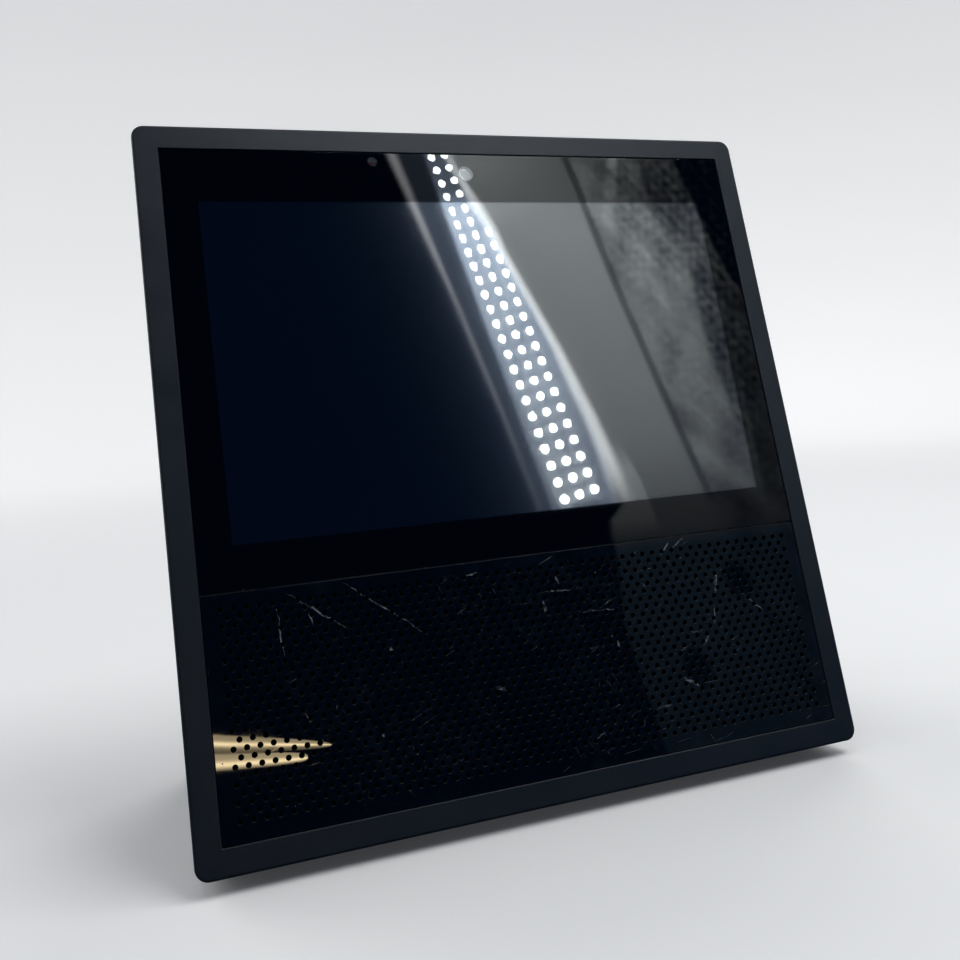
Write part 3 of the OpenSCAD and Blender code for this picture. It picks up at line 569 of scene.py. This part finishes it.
def grille():
    """The perforated plate: 25 rows of holes in turn 53 and 52 long, each with a chamfered mouth."""
    rows, cols, px, pz, first = 25, 53, 3.166, 2.013, 11.41
    hole_r, mouth, front, back, edge = 0.7, 0.035, PANEL_Y, LEDGE_Y[0], 0.04
    # The round of each cell: 16 points on its border, and 16 on the hole at the same step
    border = [(2, 0), (2, 1), (2, 2), (1, 2), (0, 2), (-1, 2), (-2, 2), (-2, 1), (-2, 0), (-2, -1), (-2, -2),
              (-1, -2), (0, -2), (1, -2), (2, -2), (2, -1)]
    border = np.array([(x * px / 4, z * pz / 4) for x, z in border])
    turn = np.radians(22.5) * np.arange(16)
    circle = np.stack([np.cos(turn), np.sin(turn)], 1)
    levels = [(border, front), (circle * (hole_r + mouth), front), (circle * hole_r, front + mouth),
              (circle * hole_r, back), (border, back)]
    cell = np.concatenate([np.column_stack([p[:, 0], np.full(16, y), p[:, 1]]) for p, y in levels])
    quads = [(a * 16 + k, a * 16 + (k + 1) % 16, (a + 1) * 16 + (k + 1) % 16, (a + 1) * 16 + k)
             for a in range(4) for k in range(16)]
    centres = [((c - (cols - 1 - r % 2) / 2) * px, 0, first + r * pz)
               for r in range(rows) for c in range(cols - r % 2)]
    verts = (cell[None] + np.array(centres)[:, None]).reshape(-1, 3)
    faces = (np.array(quads)[None] + (80 * np.arange(len(centres)))[:, None, None]).reshape(-1, 4)

    # The plain strips around the holes, on the grid of the cells' border points
    inner_x = np.arange(-2 * cols, 2 * cols + 1) * px / 4
    inner_z = first - pz / 2 + np.arange(4 * rows + 1) * pz / 4
    xs = np.concatenate([[-PANEL_HALF + edge], inner_x, [PANEL_HALF - edge]])
    zs = np.concatenate([[GRILLE_Z[0] + edge], inner_z, [GRILLE_Z[1] - edge]])
    strip_verts, strip_faces = [], []

    def quad(a, b, c, d):
        strip_faces.append([len(strip_verts) + k for k in range(4)])
        strip_verts.extend([a, b, c, d])

    for i in range(len(xs) - 1):
        for j in range(len(zs) - 1):
            row = (j - 1) // 4
            plain = j in (0, len(zs) - 2) or i in (0, len(xs) - 2)
            short_end = 0 <= row < rows and row % 2 and (i in (1, 2) or i in (len(xs) - 3, len(xs) - 4))
            if plain or short_end:
                (x0, x1), (z0, z1) = xs[i:i + 2], zs[j:j + 2]
                for y in (front, back):
                    quad((x0, y, z0), (x1, y, z0), (x1, y, z1), (x0, y, z1))
    # The rounded outer edge and the sides
    loop = [(x, zs[0], 0, -1) for x in xs] + [(xs[-1], z, 1, 0) for z in zs[1:]]
    loop += [(x, zs[-1], 0, 1) for x in xs[-2::-1]] + [(xs[0], z, -1, 0) for z in zs[-2:0:-1]]
    ends = ((0, -1), (-1, 1))  # an end's index, and its way out
    corners = {(xs[i], zs[j]): (nx, nz) for i, nx in ends for j, nz in ends}
    steps = [(edge * sin(a), front + edge * (1 - cos(a))) for a in np.radians([0, 30, 60, 90])]
    steps += [(edge, back), (0, back)]
    rings = []
    for out, y in steps:
        ring = []
        for x, z, nx, nz in loop:
            nx, nz = corners.get((x, z), (nx, nz))
            ring.append((x + nx * out, y, z + nz * out))
        rings.append(ring)
    for a, b in zip(rings, rings[1:]):
        for k in range(len(loop)):
            n = (k + 1) % len(loop)
            quad(a[k], a[n], b[n], b[k])
    faces = np.concatenate([faces, np.array(strip_faces) + len(verts)])
    verts = np.concatenate([verts, np.array(strip_verts)])
    _, index, inverse = np.unique(np.round(verts, 4), axis=0, return_index=True, return_inverse=True)
    return verts[index].tolist(), inverse.reshape(-1)[faces].tolist()


piece(("grille_plate", grille()), FACE, "grille_black", stands_for="speaker_grille")

# ---- Rear housing ----


def housing_form(inset, steps, ring):
    """The housing's tapered shape as a convex hull of the front outline and four rear corner balls."""
    top_depth, rear_r, front = 34, 7.5, 8.7
    foot = (TO_FACE @ Vector((0, DEPTH / 2, FOOT_T))).yz
    rise = Vector((top_depth, FACE_W)) - foot
    normal = Vector((rise.y, -rise.x)).normalized()
    balls = [
        Vector((top_depth - rear_r * (1 - normal.y) / normal.x, FACE_W - rear_r)),
        foot - 1.5 * rise.normalized() - rear_r * normal,
    ]
    chamfer = 0 if inset else 0.25
    points = []
    for extra, y in ((chamfer, front - inset / 4), (0, front - inset / 4 + chamfer)):
        half = HALF - inset - side_taper(y)
        box = (-half, half, inset, FACE_W - inset)
        points += [(x, y, z) for x, z in inset_outline(*box, CORNER_R - inset, extra, steps)]
    r = rear_r - inset
    for y, z in balls:
        x = HALF - side_taper(y) - rear_r / cos(SIDE_DRAFT)
        for a in range(ring):
            for b in range(1, ring // 2):
                u, v = 2 * pi * a / ring, pi * b / (ring // 2)
                p = (r * sin(v) * cos(u), r * cos(v), r * sin(v) * sin(u))
                points += [(s * x + p[0], y + p[1], z + p[2]) for s in (-1, 1)]
    bm = bmesh.new()
    for p in points:
        bm.verts.new(p)
    bmesh.ops.convex_hull(bm, input=bm.verts)
    bmesh.ops.delete(bm, geom=[v for v in bm.verts if not v.link_faces], context="VERTS")
    bmesh.ops.dissolve_limit(bm, angle_limit=radians(0.2), verts=bm.verts, edges=bm.edges)
    cut_z = FLOOR_TOP if inset else FOOT_T
    bmesh.ops.bisect_plane(
        bm, geom=bm.verts[:] + bm.edges[:] + bm.faces[:], clear_outer=True,
        plane_co=TO_FACE @ Vector((0, 0, cut_z)), plane_no=TO_FACE.to_3x3() @ Vector((0, 0, -1)))
    bmesh.ops.holes_fill(bm, edges=[e for e in bm.edges if e.is_boundary])
    mesh = bpy.data.meshes.new("housing_shell")
    bm.to_mesh(mesh)
    bm.free()
    clean(mesh)
    return linked("housing_shell", mesh)


def upright_slab(half, y0, y1, z0, z1, r, low=0.0, high=0.0):
    """A plate that lies flat, in the upright frame, with rounded lower and upper edges."""
    profile = edge_profile(z0, z1, low, high)
    return loft([[(x, y, z) for x, y in inset_outline(-half, half, y0, y1, r, i, 8)] for i, z in profile])


def housing():
    shell = housing_form(0, 10, 48)
    bore = [(0, 0), (5.5, 0), (5.5, 12), (0, 12)]
    button_hole = [(0, -3), (6, -3), (6, -0.3), (6.3, 0), (6.9, 0.6), (0, 0.6)]
    mic_hole = [(0, -3), (0.6, -3), (0.6, -0.2), (0.8, 0), (1.0, 0.2), (0, 0.2)]
    wall_y, wall_lean = 43.62, radians(5.74)  # of the rear wall at the socket
    socket_at = at(0, wall_y, JACK_Z) @ Matrix.Rotation(wall_lean, 4, "X") @ INTO
    recess = [(0, -0.55), (5.6, -0.55), (6.15, 0), (6.8, 0.65), (0, 0.65)]
    cutters = [
        housing_form(WALL, 4, 20),
        solid("base_hole", upright_slab(*BASE_HOLE, FOOT_T - 1, FOOT_T + PLATE_T, BASE_R), TO_FACE),
        solid("base_well", upright_slab(71, -29, 36, FOOT_T, FLOOR_TOP + 1, 6), TO_FACE),
        solid("socket_bore", turned(bore, 64), TO_FACE @ at(0, 36, JACK_Z) @ INTO),
        solid("socket_mouth", turned(recess, 64), TO_FACE @ socket_at),
    ]
    cutters += [solid("button_hole", turned(button_hole, 96), at(x, BUTTON_Y, FACE_W))
                for x in BUTTON_X.values()]
    cutters += [solid("mic_hole", turned(mic_hole, 24), at(x, y, FACE_W)) for x in MIC_X for y in MIC_Y]
    return combine(shell, cutters)


piece(housing(), FACE, "slate_plastic", stands_for="rear_housing", sharp=32)

# ---- Buttons ----


def mark_shape(kind, z0, z1, grow=0.0):
    """A minus, a ring or a plus with round ends, standing from z0 to z1."""
    if kind == "mute":
        inner, outer = 1.5 - grow, 2.1 + grow
        return turned([(inner, z0), (outer, z0), (outer, z1), (inner, z1)], 64)
    reach, half = 1.65, 0.35 + grow
    arm = [(reach + half * cos(t), half * sin(t)) for t in np.radians(np.linspace(-90, 90, 13))]
    if kind == "volume_up":
        arm.append((half, half))
    ring = []
    for turn in (0, 90, 180, 270) if kind == "volume_up" else (0, 180):
        c, s = cos(radians(turn)), sin(radians(turn))
        ring += [(x * c - y * s, x * s + y * c) for x, y in arm]
    return loft([[(x, y, z) for x, y in ring] for z in (z0, z1)])


for kind, x in BUTTON_X.items():
    place = at(x, BUTTON_Y, 0)
    top, cap_r, flange_r, edge_r = FACE_W, 5.8, 6.8, 0.45
    profile = [(0, 182.65), (1.8, 182.65), (1.8, 183.6), (flange_r - 0.2, 183.6), (flange_r, 183.8),
               (flange_r, 184.2), (flange_r - 0.2, 184.4), (cap_r, 184.4), (cap_r, top - edge_r)]
    profile += [(cap_r - i, top - d) for i, d in reversed(arc(edge_r, 5)[:-1])]
    dish = ((4.6, 0.03), (3.6, 0.09), (2.4, 0.14), (1.2, 0.17), (0, 0.18))
    profile += [(r, top - depth) for r, depth in dish]
    cap = combine(solid("cap_" + kind, turned(profile, 96), place),
                  [solid("mark", mark_shape(kind, top - 0.35, top + 1), place)])
    piece(cap, FACE, "button_plastic", kind + "_button", "button_" + kind, 35)
    inlay = solid("inlay_" + kind, mark_shape(kind, top - 0.36, top - 0.29, -0.02), place)
    piece(inlay, FACE, "button_plastic", kind + "_button", look="mark_paint")

# ---- Base ----

half, front, back = BASE_HOLE
plate = solid("underside_plate", upright_slab(half - PLATE_GAP, front + PLATE_GAP, back - PLATE_GAP, FOOT_T,
                                              FOOT_T + PLATE_T, BASE_R - PLATE_GAP, low=0.3))
post = [(0, 3.9), (2.4, 3.9), (2.4, 8.2), (2.2, 8.4), (0.8, 8.4), (0.8, 4.6), (0, 4.6)]
combine(plate, [solid("post", turned(post, 24), at(x, y)) for x in (-14, 14) for y in (21, 33)], "UNION")
screw_hole = [(0, 1), (2.3, 1), (2.3, 3.7), (1.2, 3.7), (1.2, 5), (0, 5)]
combine(plate, [solid("screw_hole", turned(screw_hole, 32), at(x, y))
                for x in (-70.5, 70.5) for y in (-28, 35)])
piece(plate, UPRIGHT, "black_plastic", stands_for="base_plate")

# The rubber pad has a shallow recess within its resting band
pad = solid("foot_pad", upright_slab(73, -31, 38, 0, FOOT_T, BASE_R, low=0.5, high=0.15))
combine(pad, [solid("recess", upright_slab(62, -20, 27, -1, 0.6, 4, high=0.3))])
piece(pad, UPRIGHT, "black_rubber", stands_for="rubber_foot")

# ---- Power socket ----

socket = solid("socket_shell", slab(-5.5, 5.5, 10, 21.5, 26, 39.5, 0.8, front=0.3, back=0.3))
collar = [(0, 0), (5.3, 0), (5.3, 3.9), (5.1, 4.1), (3.15, 4.1), (2.85, 3.8), (0, 3.8)]
combine(socket, [solid("collar", turned(collar, 64), at(0, 38.7, JACK_Z) @ INTO)], "UNION")
bore = [(0, 0), (2.85, 0), (2.85, 9), (3.2, 9.6), (0, 9.6)]
combine(socket, [solid("bore", turned(bore, 64), at(0, 33.3, JACK_Z) @ INTO)])
piece(socket, UPRIGHT, "black_plastic", stands_for="power_jack")
pin = [(0, 32.8), (1, 32.8), (1, 41.5), (0.9, 41.8), (0.6, 41.97), (0, 42)]
pin_place = UPRIGHT @ at(0, 0, JACK_Z) @ INTO
piece(("socket_pin", turned(pin, 32)), pin_place, "screw_steel", look="socket_steel")
contact = [(2.86, 33.4), (2.86, 39.5), (2.6, 39.0), (2.45, 37.5), (2.6, 35), (2.6, 33.4)]
piece(("socket_contact", turned(contact, 48)), pin_place, "screw_steel", look="socket_steel")

# ---- Moving edges of the drivers ----


def radial_blend(obj):
    """Bakes obj's placement into its mesh; it does not bend obj."""
    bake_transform(obj)


for side, name in ((-1, "left"), (1, "right")):
    axis = FACE @ at(side * DRIVER_X, 0, DRIVER_Z) @ INTO
    turns = [radians(a) for a in range(0, 181, 12)]
    rim_r, roll_r, outer, inner, back = 23.4, 19.05, 1.5, 1.1, 5
    roll = [(rim_r, back), (rim_r, 4.6), (20.6, 4.6)]
    roll += [(roll_r + outer * cos(a), back - outer * sin(a)) for a in turns[1:]]
    roll += [(roll_r + inner * cos(a), back - inner * sin(a)) for a in reversed(turns)]
    surround = piece((name + "_roll", turned(roll, 72)), axis, "black_rubber",
                     stands_for=name + "_surround", bends=True)
    radial_blend(surround)
    inner_r, width, depth, crests, steps = 8.65, 8.75, 0.25, 3.5, 48
    waves = [(inner_r + width * k / steps, 13.5 - depth * (1 - cos(2 * pi * k / steps * crests)))
             for k in range(steps + 1)]
    section = waves + [(r, y + 0.4) for r, y in reversed(waves)]
    spider = piece((name + "_suspension", turned(section, 72)), axis, "spider_cloth",
                   stands_for=name + "_spider", bends=True)
    radial_blend(spider)

# ---- Camera ----

CAMERA_AT = Vector((-0.11426, -0.27633, 0.10794))
AZIMUTH, ELEVATION, ROLL = radians(19.6), radians(0.356), radians(4.011)
level = cos(ELEVATION)
forward = Vector((sin(AZIMUTH) * level, cos(AZIMUTH) * level, sin(ELEVATION)))
level_right = forward.cross(Vector((0, 0, 1))).normalized()
level_up = level_right.cross(forward)
up = level_up * cos(ROLL) + level_right * sin(ROLL)
right = level_right * cos(ROLL) - level_up * sin(ROLL)
camera_data = bpy.data.cameras.new("camera")
camera_data.lens, camera_data.sensor_width = 37.5, 36
camera_data.shift_x, camera_data.shift_y = 0.0611, -0.0827
camera_data.clip_start, camera_data.clip_end = 0.01, 50
camera = linked("camera", camera_data)
camera.matrix_world = at(*CAMERA_AT) @ Matrix((right, up, -forward)).transposed().to_4x4()
bpy.context.scene.camera = camera

# ---- Stage ----

bpy.context.scene.view_settings.view_transform = "Standard"


PALE = (0.80, 0.80, 0.785)
ROOM_DUSK = (0.004, 0.018, 0.058)  # the dim blue that the glass mirrors where nothing is lit


def stage_material(name):
    """Pale paper that glows a little, more so away from the lamps over the object."""
    look = Look(name, PALE, 0.9, Emission_Color=(*PALE, 1))
    look.link("Base Color", look.ramp(look.noise(0.5, 3), (0.3, shade(PALE, 0.985)), (0.7, PALE)))
    look.link("Emission Strength", look.spread(look.vector("LENGTH", look.place), 0.05, 0.56, 0.2, 3.2))
    return look.material


def hide_from(obj, *rays):
    for ray in rays:
        setattr(obj, "visible_" + ray, False)


floor = solid("stage_floor", turned([(0, -0.02), (1.6, -0.02), (1.6, 0), (0, 0)], 96))
wall_arc = [radians(90 * k / 16) for k in range(17)]
wall = [(1.6, -0.02), (1.6, 0)] + [(1.6 + 1.4 * sin(a), 1.4 - 1.4 * cos(a)) for a in wall_arc[1:]]
wall += [(3.0, 3.2)] + [(3.0 * cos(a), 3.2 + 1.2 * sin(a)) for a in wall_arc[1:-1]] + [(0, 4.4)]
wall += [(0, 4.45), (3.05, 3.2), (3.05, -0.02)]
room = solid("stage_wall", turned(wall, 96))
for obj in (floor, room):
    obj.data.materials.append(stage_material(obj.name))
    obj.data.shade_smooth()
    obj.data.set_sharp_from_angle(angle=radians(40))
hide_from(room, "glossy", "transmission", "diffuse", "shadow")
hide_from(floor, "glossy", "transmission", "diffuse")

world = bpy.data.worlds.new("world")
world.use_nodes = True
world.node_tree.nodes["Background"].inputs["Color"].default_value = (*ROOM_DUSK, 1)
bpy.context.scene.world = world

CENTRE = Vector((0, 0, 0.09))


def area_light(name, azimuth, elevation, distance, size, power, colour=(1, 1, 1)):
    """A soft light aimed at the object, azimuth to the right of straight in front."""
    a, e = radians(azimuth), radians(elevation)
    data = bpy.data.lights.new(name, "AREA")
    data.shape, data.size, data.size_y = "RECTANGLE", *size
    data.energy, data.color = power, colour
    light = linked(name, data)
    away = Vector((sin(a) * cos(e), -cos(a) * cos(e), sin(e)))
    light.location = CENTRE + away * distance
    light.rotation_mode = "QUATERNION"
    light.rotation_quaternion = (-away).to_track_quat("-Z", "Y")
    light.visible_camera = False


area_light("key", -48, 50, 1.9, (1.2, 1.0), 2.5)
area_light("top", 48, 57, 0.9, (0.7, 0.22), 4.0, (0.97, 0.985, 1.0))
area_light("overhead", 0, 88, 2.0, (1.6, 1.6), 10)
area_light("fill", 85, 22, 3.6, (1.8, 1.8), 14)
area_light("side", -98, 16, 3.6, (1.8, 1.8), 30)
area_light("rear_left", -140, 26, 3.6, (2.4, 1.8), 48)
area_light("rear_right", 138, 26, 3.6, (2.4, 1.8), 48)

# ---- What the glass mirrors: a lamp with three rows of lights, and glowing cards beside it painted with light and shade ----

OUTWARD = (FACE.to_3x3() @ Vector((0, -1, 0))).normalized()
CARD_DISTANCE = 0.6


def mirrored(x, z, distance=CARD_DISTANCE):
    """The point that the camera sees by way of the glass at (x, z) of the face."""
    at = FACE @ Vector((x, PANEL_Y, z))
    ray = (at - CAMERA_AT).normalized()
    return at + (ray - 2 * ray.dot(OUTWARD) * OUTWARD) * distance


def along(z, *points):
    """A value that changes with z, from (z, value) points."""
    zs, values = zip(*sorted(points))
    return np.interp(z, zs, values)


def band(x, z, line, half_widths, soft=0.6):
    """1 on a line down the face, given as (z, x) points, falling to 0 at its edges."""
    half = along(z, *half_widths)
    d = np.clip((np.abs(x - along(z, *line)) - half * (1 - soft)) / (half * soft), 0, 1)
    return 1 - d * d * (3 - 2 * d)


def beyond(x, z, line, soft):
    """0 left of a line down the face and 1 right of it."""
    d = np.clip((x - along(z, *line)) / soft + 0.5, 0, 1)
    return d * d * (3 - 2 * d)


def ripples(x, z, rng, angles, frequencies, count):
    """A sum of waves across the face, with angles and frequencies (radians a millimetre) in these ranges."""
    waves = zip(rng.uniform(*angles, count), rng.uniform(*frequencies, count), rng.uniform(0, 6.3, count))
    return sum(np.sin((x * cos(a) + z * sin(a)) * f + p) for a, f, p in waves)


def cloth_painted_light(x, z):
    """How bright the glowing card right of the lamp is, without its colour: painted light and shade of a
    cloth.
    """
    rng = np.random.default_rng(7)
    soft_edge = [(180, -5.5), (164, 1.4), (150, 7.5), (131, 15), (107, 24), (78, 31), (74, 31.5), (70, 27),
                 (64, 26.5)]
    low_edge = [(64, 27), (40, 25.5), (9, 31), (0, 33)]
    on_grille = z <= 64
    grey = np.where(on_grille, beyond(x, z, low_edge, 1.2), beyond(x, z, soft_edge, 3.0))
    grey *= along(z, (0, 0.06), (30, 0.09), (60, 0.12), (66, 0.26), (74, 0.32), (76, 0.53), (80, 0.59),
                  (90, 0.8), (100, 0.94), (140, 1.35), (190, 2.0))
    grey *= 1 + np.clip((z - 156) / 20, 0, 1) * along(x, (-5, 0.6), (5, 0.5), (20, 0.12), (33, -0.2), (40, 0))
    wedge = (1 - beyond(x, z, [(90, 35), (80, 39), (66, 42)], 1.0)) * np.clip((92 - z) / 8, 0, 1)
    grey *= 1 + 0.9 * wedge * np.clip((z - 65) / 5, 0, 1)
    crease_shade_line = [(180, 33), (170, 35.6), (158, 38.2), (140, 42.4), (120, 47.8), (100, 53.1), (80, 58.8),
                 (64, 63.5), (0, 82)]  # painted shade where two folds of the cloth meet
    grey *= 1 - 0.6 * np.clip((z - 71) / 4, 0, 1) * band(x, z, crease_shade_line, [(0, 1.7), (180, 1.7)], 0.5)
    folds = ripples(x, z, rng, (-0.6, 1.2), (0.15, 0.7), 9)
    mottle = ripples(x, z, rng, (0, 3.14), (0.8, 2.6), 14)
    grey *= 1 - beyond(x, z, crease_shade_line, 2.0) * (0.2 - 0.06 * folds - 0.02 * mottle)
    grey *= np.where(on_grille, 1, along(x, (56, 1), (70, 0.8)))
    # Painted highlights along two crests of the cloth, then painted shade beside them
    crest = band(x, z, [(180, 49.0), (172, 46.8), (160, 43.6), (148, 42.5)], [(180, 3.2), (148, 3.2)], 1.0)
    grey *= 1 + along(z, (148, 0), (160, 0.3), (172, 0.5), (180, 0.9)) * crest
    low_crest = band(x, z, [(152, 54), (130, 58.5), (120, 62), (108, 60)], [(152, 3.5), (108, 4)], 1.0)
    grey *= 1 + along(z, (100, 0), (110, 0.1), (130, 0.3), (150, 0.3), (156, 0)) * low_crest
    shade = along(z, (140, 0), (150, 0.15), (160, 0.25), (168, 0.45), (180, 0.45)) - 0.02 * mottle
    grey *= 1 - shade * beyond(x, z, [(180, 51), (172, 49.5), (160, 47), (0, 40)], 2.0) * (z > 140)
    shade = along(z, (76, 0), (80, 0.1), (95, 0.5), (110, 0.7), (130, 0.72), (142, 0.72), (150, 0.45),
                  (160, 0.55), (168, 0.65), (174, 0.6), (180, 0.35)) - 0.03 * mottle
    shade_edge = [(180, 57.5), (165, 60), (157, 62), (146, 69.5), (130, 69.5), (110, 71.5), (95, 75),
                  (80, 79), (0, 130)]
    grey *= 1 - shade * beyond(x, z, shade_edge, 3.5)
    shade = along(z, (64, 0), (66, 0.1), (76, 0.4), (90, 0.65), (100, 0.3))
    grey *= 1 - shade * beyond(x, z, [(180, 95), (102, 79.5), (0, 79.5)], 2.0)
    # Painted shade at the face's right, along the window's right edge and over the mask beyond it
    mask_shade_edge = [(180, 71.2), (168, 75), (160, 77), (150, 80), (140, 83.5), (133, 90), (0, 130)]
    grey *= 1 - (0.97 - 0.01 * mottle) * beyond(x, z, mask_shade_edge, 1.8)
    # Two painted dark spots where the grille mirrors the card
    for spot_x, spot_z, width, height in ((64.3, 48.9, 3.6, 4.8), (45.5, 27.3, 3.8, 4.4)):
        off = np.hypot((x - spot_x + 0.25 * (z - spot_z)) / width, (z - spot_z) / height)
        grey *= 1 - 0.9 * np.clip(2.2 - 1.5 * off + 0.03 * mottle, 0, 1)
    return grey


def brass_painted_light(x, z):
    """The painted light of two brass tubes that the grille mirrors at its lower left, each with a painted
    bright stripe and painted shade on its lower side. They narrow to the right, to a point.
    """
    taper = np.clip((-59 - x) / 28, 0, 1)
    upper = (z - 24.6 - 4.9 * taper) / np.maximum(2.25 * taper**0.45, 0.01)
    lower = (z - 22.15 - 3.2 * taper) / np.maximum(2.0 * np.clip((taper - 0.22) / 0.78, 0, 1) ** 0.25, 0.01)
    brass = 0
    for across, light_at, width, rest, end in ((upper, 0.0, 0.24, 0.3, 0), (lower, -0.3, 0.35, 0.36, 0.22)):
        tube = np.clip(8 * (1 - np.abs(across)), 0, 1) * (taper > end)
        light = np.exp(-(((across - light_at) / width) ** 2))
        brass = brass + tube * (rest + 0.85 * light - 0.25 * np.clip(-across, 0, 1))
    return brass


def glow(x, z):
    """The colour of the glowing cards where the face mirrors them at (x, z), a painted reflection."""
    # Painted reflection: the lamp's light is kept to the window, and the grille mirrors a bluer tint than the
    # glass
    in_window = np.clip((z - 74.2) / 0.8, 0, 1)
    on_grille = np.clip((64 - z) / 2, 0, 1)

    def tinted(share, *tint):
        return share[..., None] * np.array(tint)

    grey = cloth_painted_light(x, z)
    out = tinted(grey * (1 - on_grille), 0.93, 1.0, 0.99) + tinted(grey * on_grille, 0.62, 1.0, 1.3)

    # The lamp's own face, a painted highlight along the edge of the cloth beside it, and the thin streak and
    # haze at its left
    lamp_left = [(180, -12.5), (76, 9.5)]
    lamp_right = [(180, -4.5), (164, 2), (150, 7.5), (131, 15), (107, 23.5), (90, 28.2), (76, 30.5)]
    lamp = beyond(x, z, lamp_left, 1.6) * (1 - beyond(x, z, lamp_right, 2.0)) * in_window
    level = along(z, (76, 1.0), (100, 1.45), (120, 2.1), (140, 2.8), (150, 3.6), (160, 4.1), (166, 4.1),
                  (169, 2.1), (180, 1.9))
    out = out * (1 - lamp[..., None]) + tinted(lamp * level, 0.68, 0.84, 1.08)
    white = band(x, z, [(180, -5.2), (174, -3), (170, -1), (164, 1.6), (158, 4.6), (150, 7.4), (140, 11.6),
                        (131, 15.3), (120, 19.6), (107, 23.8), (100, 26.2), (90, 28.9), (80, 31), (76, 32)],
                 [(180, 2.1), (170, 2), (164, 3.4), (150, 2.2), (131, 2.1), (107, 3), (90, 3.8), (76, 5)],
                 0.9)
    level = along(z, (72, 0.2), (77, 0.8), (82, 2.2), (90, 3.6), (110, 4.8), (140, 4.4), (164, 5.6),
                  (170, 10), (180, 5.5))
    out += tinted(white * level * in_window, 0.97, 1.0, 1.0)
    streak_line = [(180, -22.3), (136, -9.5), (101, -0.1), (76, 5.7)]
    streak = band(x, z, streak_line, [(180, 2.6), (140, 1.3), (76, 1.6)], 1.0)
    level = along(z, (76, 0.12), (100, 0.4), (136, 1.2), (160, 2.2), (180, 3.4))
    out += tinted(streak * level * in_window, 1.0, 1.0, 1.0)
    left_of_lamp = 1 - beyond(x, z, lamp_left, 1.0)
    between = beyond(x, z, [(180, -22.5), (76, 5)], 3.0) * left_of_lamp * in_window
    out += tinted(between * along(z, (76, 0.14), (180, 0.3)), 0.75, 0.9, 1.2)
    haze = np.exp(np.minimum(x - along(z, *streak_line), 0) / 9) * left_of_lamp
    out += tinted(0.14 * haze * in_window * (z < 165.6), 0.65, 0.95, 1.4)
    return out + tinted(brass_painted_light(x, z), 21.0, 16.5, 9.5) + np.array(ROOM_DUSK)


def card(name, xs, zs, distance):
    """One grid of faces where the mirrored cards stand, with their light as a colour on each point."""
    gx, gz = np.meshgrid(xs, zs)
    verts = [mirrored(x, z, distance) for x, z in zip(gx.ravel(), gz.ravel())]
    w = len(xs)
    faces = [(j * w + i, j * w + i + 1, (j + 1) * w + i + 1, (j + 1) * w + i)
             for j in range(len(zs) - 1) for i in range(w - 1)]
    mesh = bpy.data.meshes.new(name)
    mesh.from_pydata(verts, [], faces)
    light = glow(gx, gz).reshape(-1, 3)
    colours = np.column_stack([light, np.ones(len(light))]).astype(np.float32)
    mesh.attributes.new("glow", "FLOAT_COLOR", "POINT").data.foreach_set("color", colours.ravel())
    return mesh


def lamp_lights():
    """The lamp's round lights: three rows, the right one shorter."""
    verts, faces = [], []
    count, sides = 24, 20
    circle = [(cos(2 * pi * k / sides), sin(2 * pi * k / sides)) for k in range(sides)]
    for row in range(count):
        share = (row + 0.005 * row * row) / (count - 1 + 0.005 * (count - 1) ** 2)
        for column in range(3):
            if column == 2 and row < 6:
                continue
            left = Vector((-10.2, 179.2)).lerp(Vector((13.8, 77.2)), share)
            x, z = left + Vector((4.0 + 0.85 * share, 1.0)) * column
            r = 1.2 if row < 4 else 0.9 + 0.5 * share
            discs = [(x, z, r)] if row < 4 else [(x, z, r), (x + 0.2, z - 1.2 * (1 - share), 0.75 * r)]
            for k, (dx, dz, dr) in enumerate(discs):
                ring = [(dx + dr * c, dz + dr * s) for c, s in circle]
                faces.append(tuple(range(len(verts), len(verts) + sides)))
                verts += [mirrored(*p, CARD_DISTANCE - 0.01 - 0.002 * k) for p in ring]
    mesh = bpy.data.meshes.new("stage_lamp_lights")
    mesh.from_pydata(verts, [], faces)
    return mesh


def glowing(name, strength):
    return Look(name, (0, 0, 0), 1.0, Emission_Color=(0.93, 1.0, 1.0, 1), Emission_Strength=strength,
                Specular_IOR_Level=0)


card_glow = glowing("card_glow", 1.0)
card_glow.link("Emission Color", card_glow.node("Attribute", attribute_name="glow").outputs["Color"])
lamp_glow = glowing("lamp_glow", 32.0)
wide_card = card("stage_card", np.linspace(-92, 92, 264), np.linspace(0, 187, 268), CARD_DISTANCE)
brass_card = card("stage_brass", np.linspace(-92, -56, 200), np.linspace(19, 34, 120), CARD_DISTANCE - 0.005)
for mesh, look in ((wide_card, card_glow), (brass_card, card_glow), (lamp_lights(), lamp_glow)):
    obj = linked(mesh.name, mesh)
    mesh.materials.append(look.material)
    hide_from(obj, "camera", "diffuse", "shadow")

# ---- End ----

bpy.context.view_layer.update()
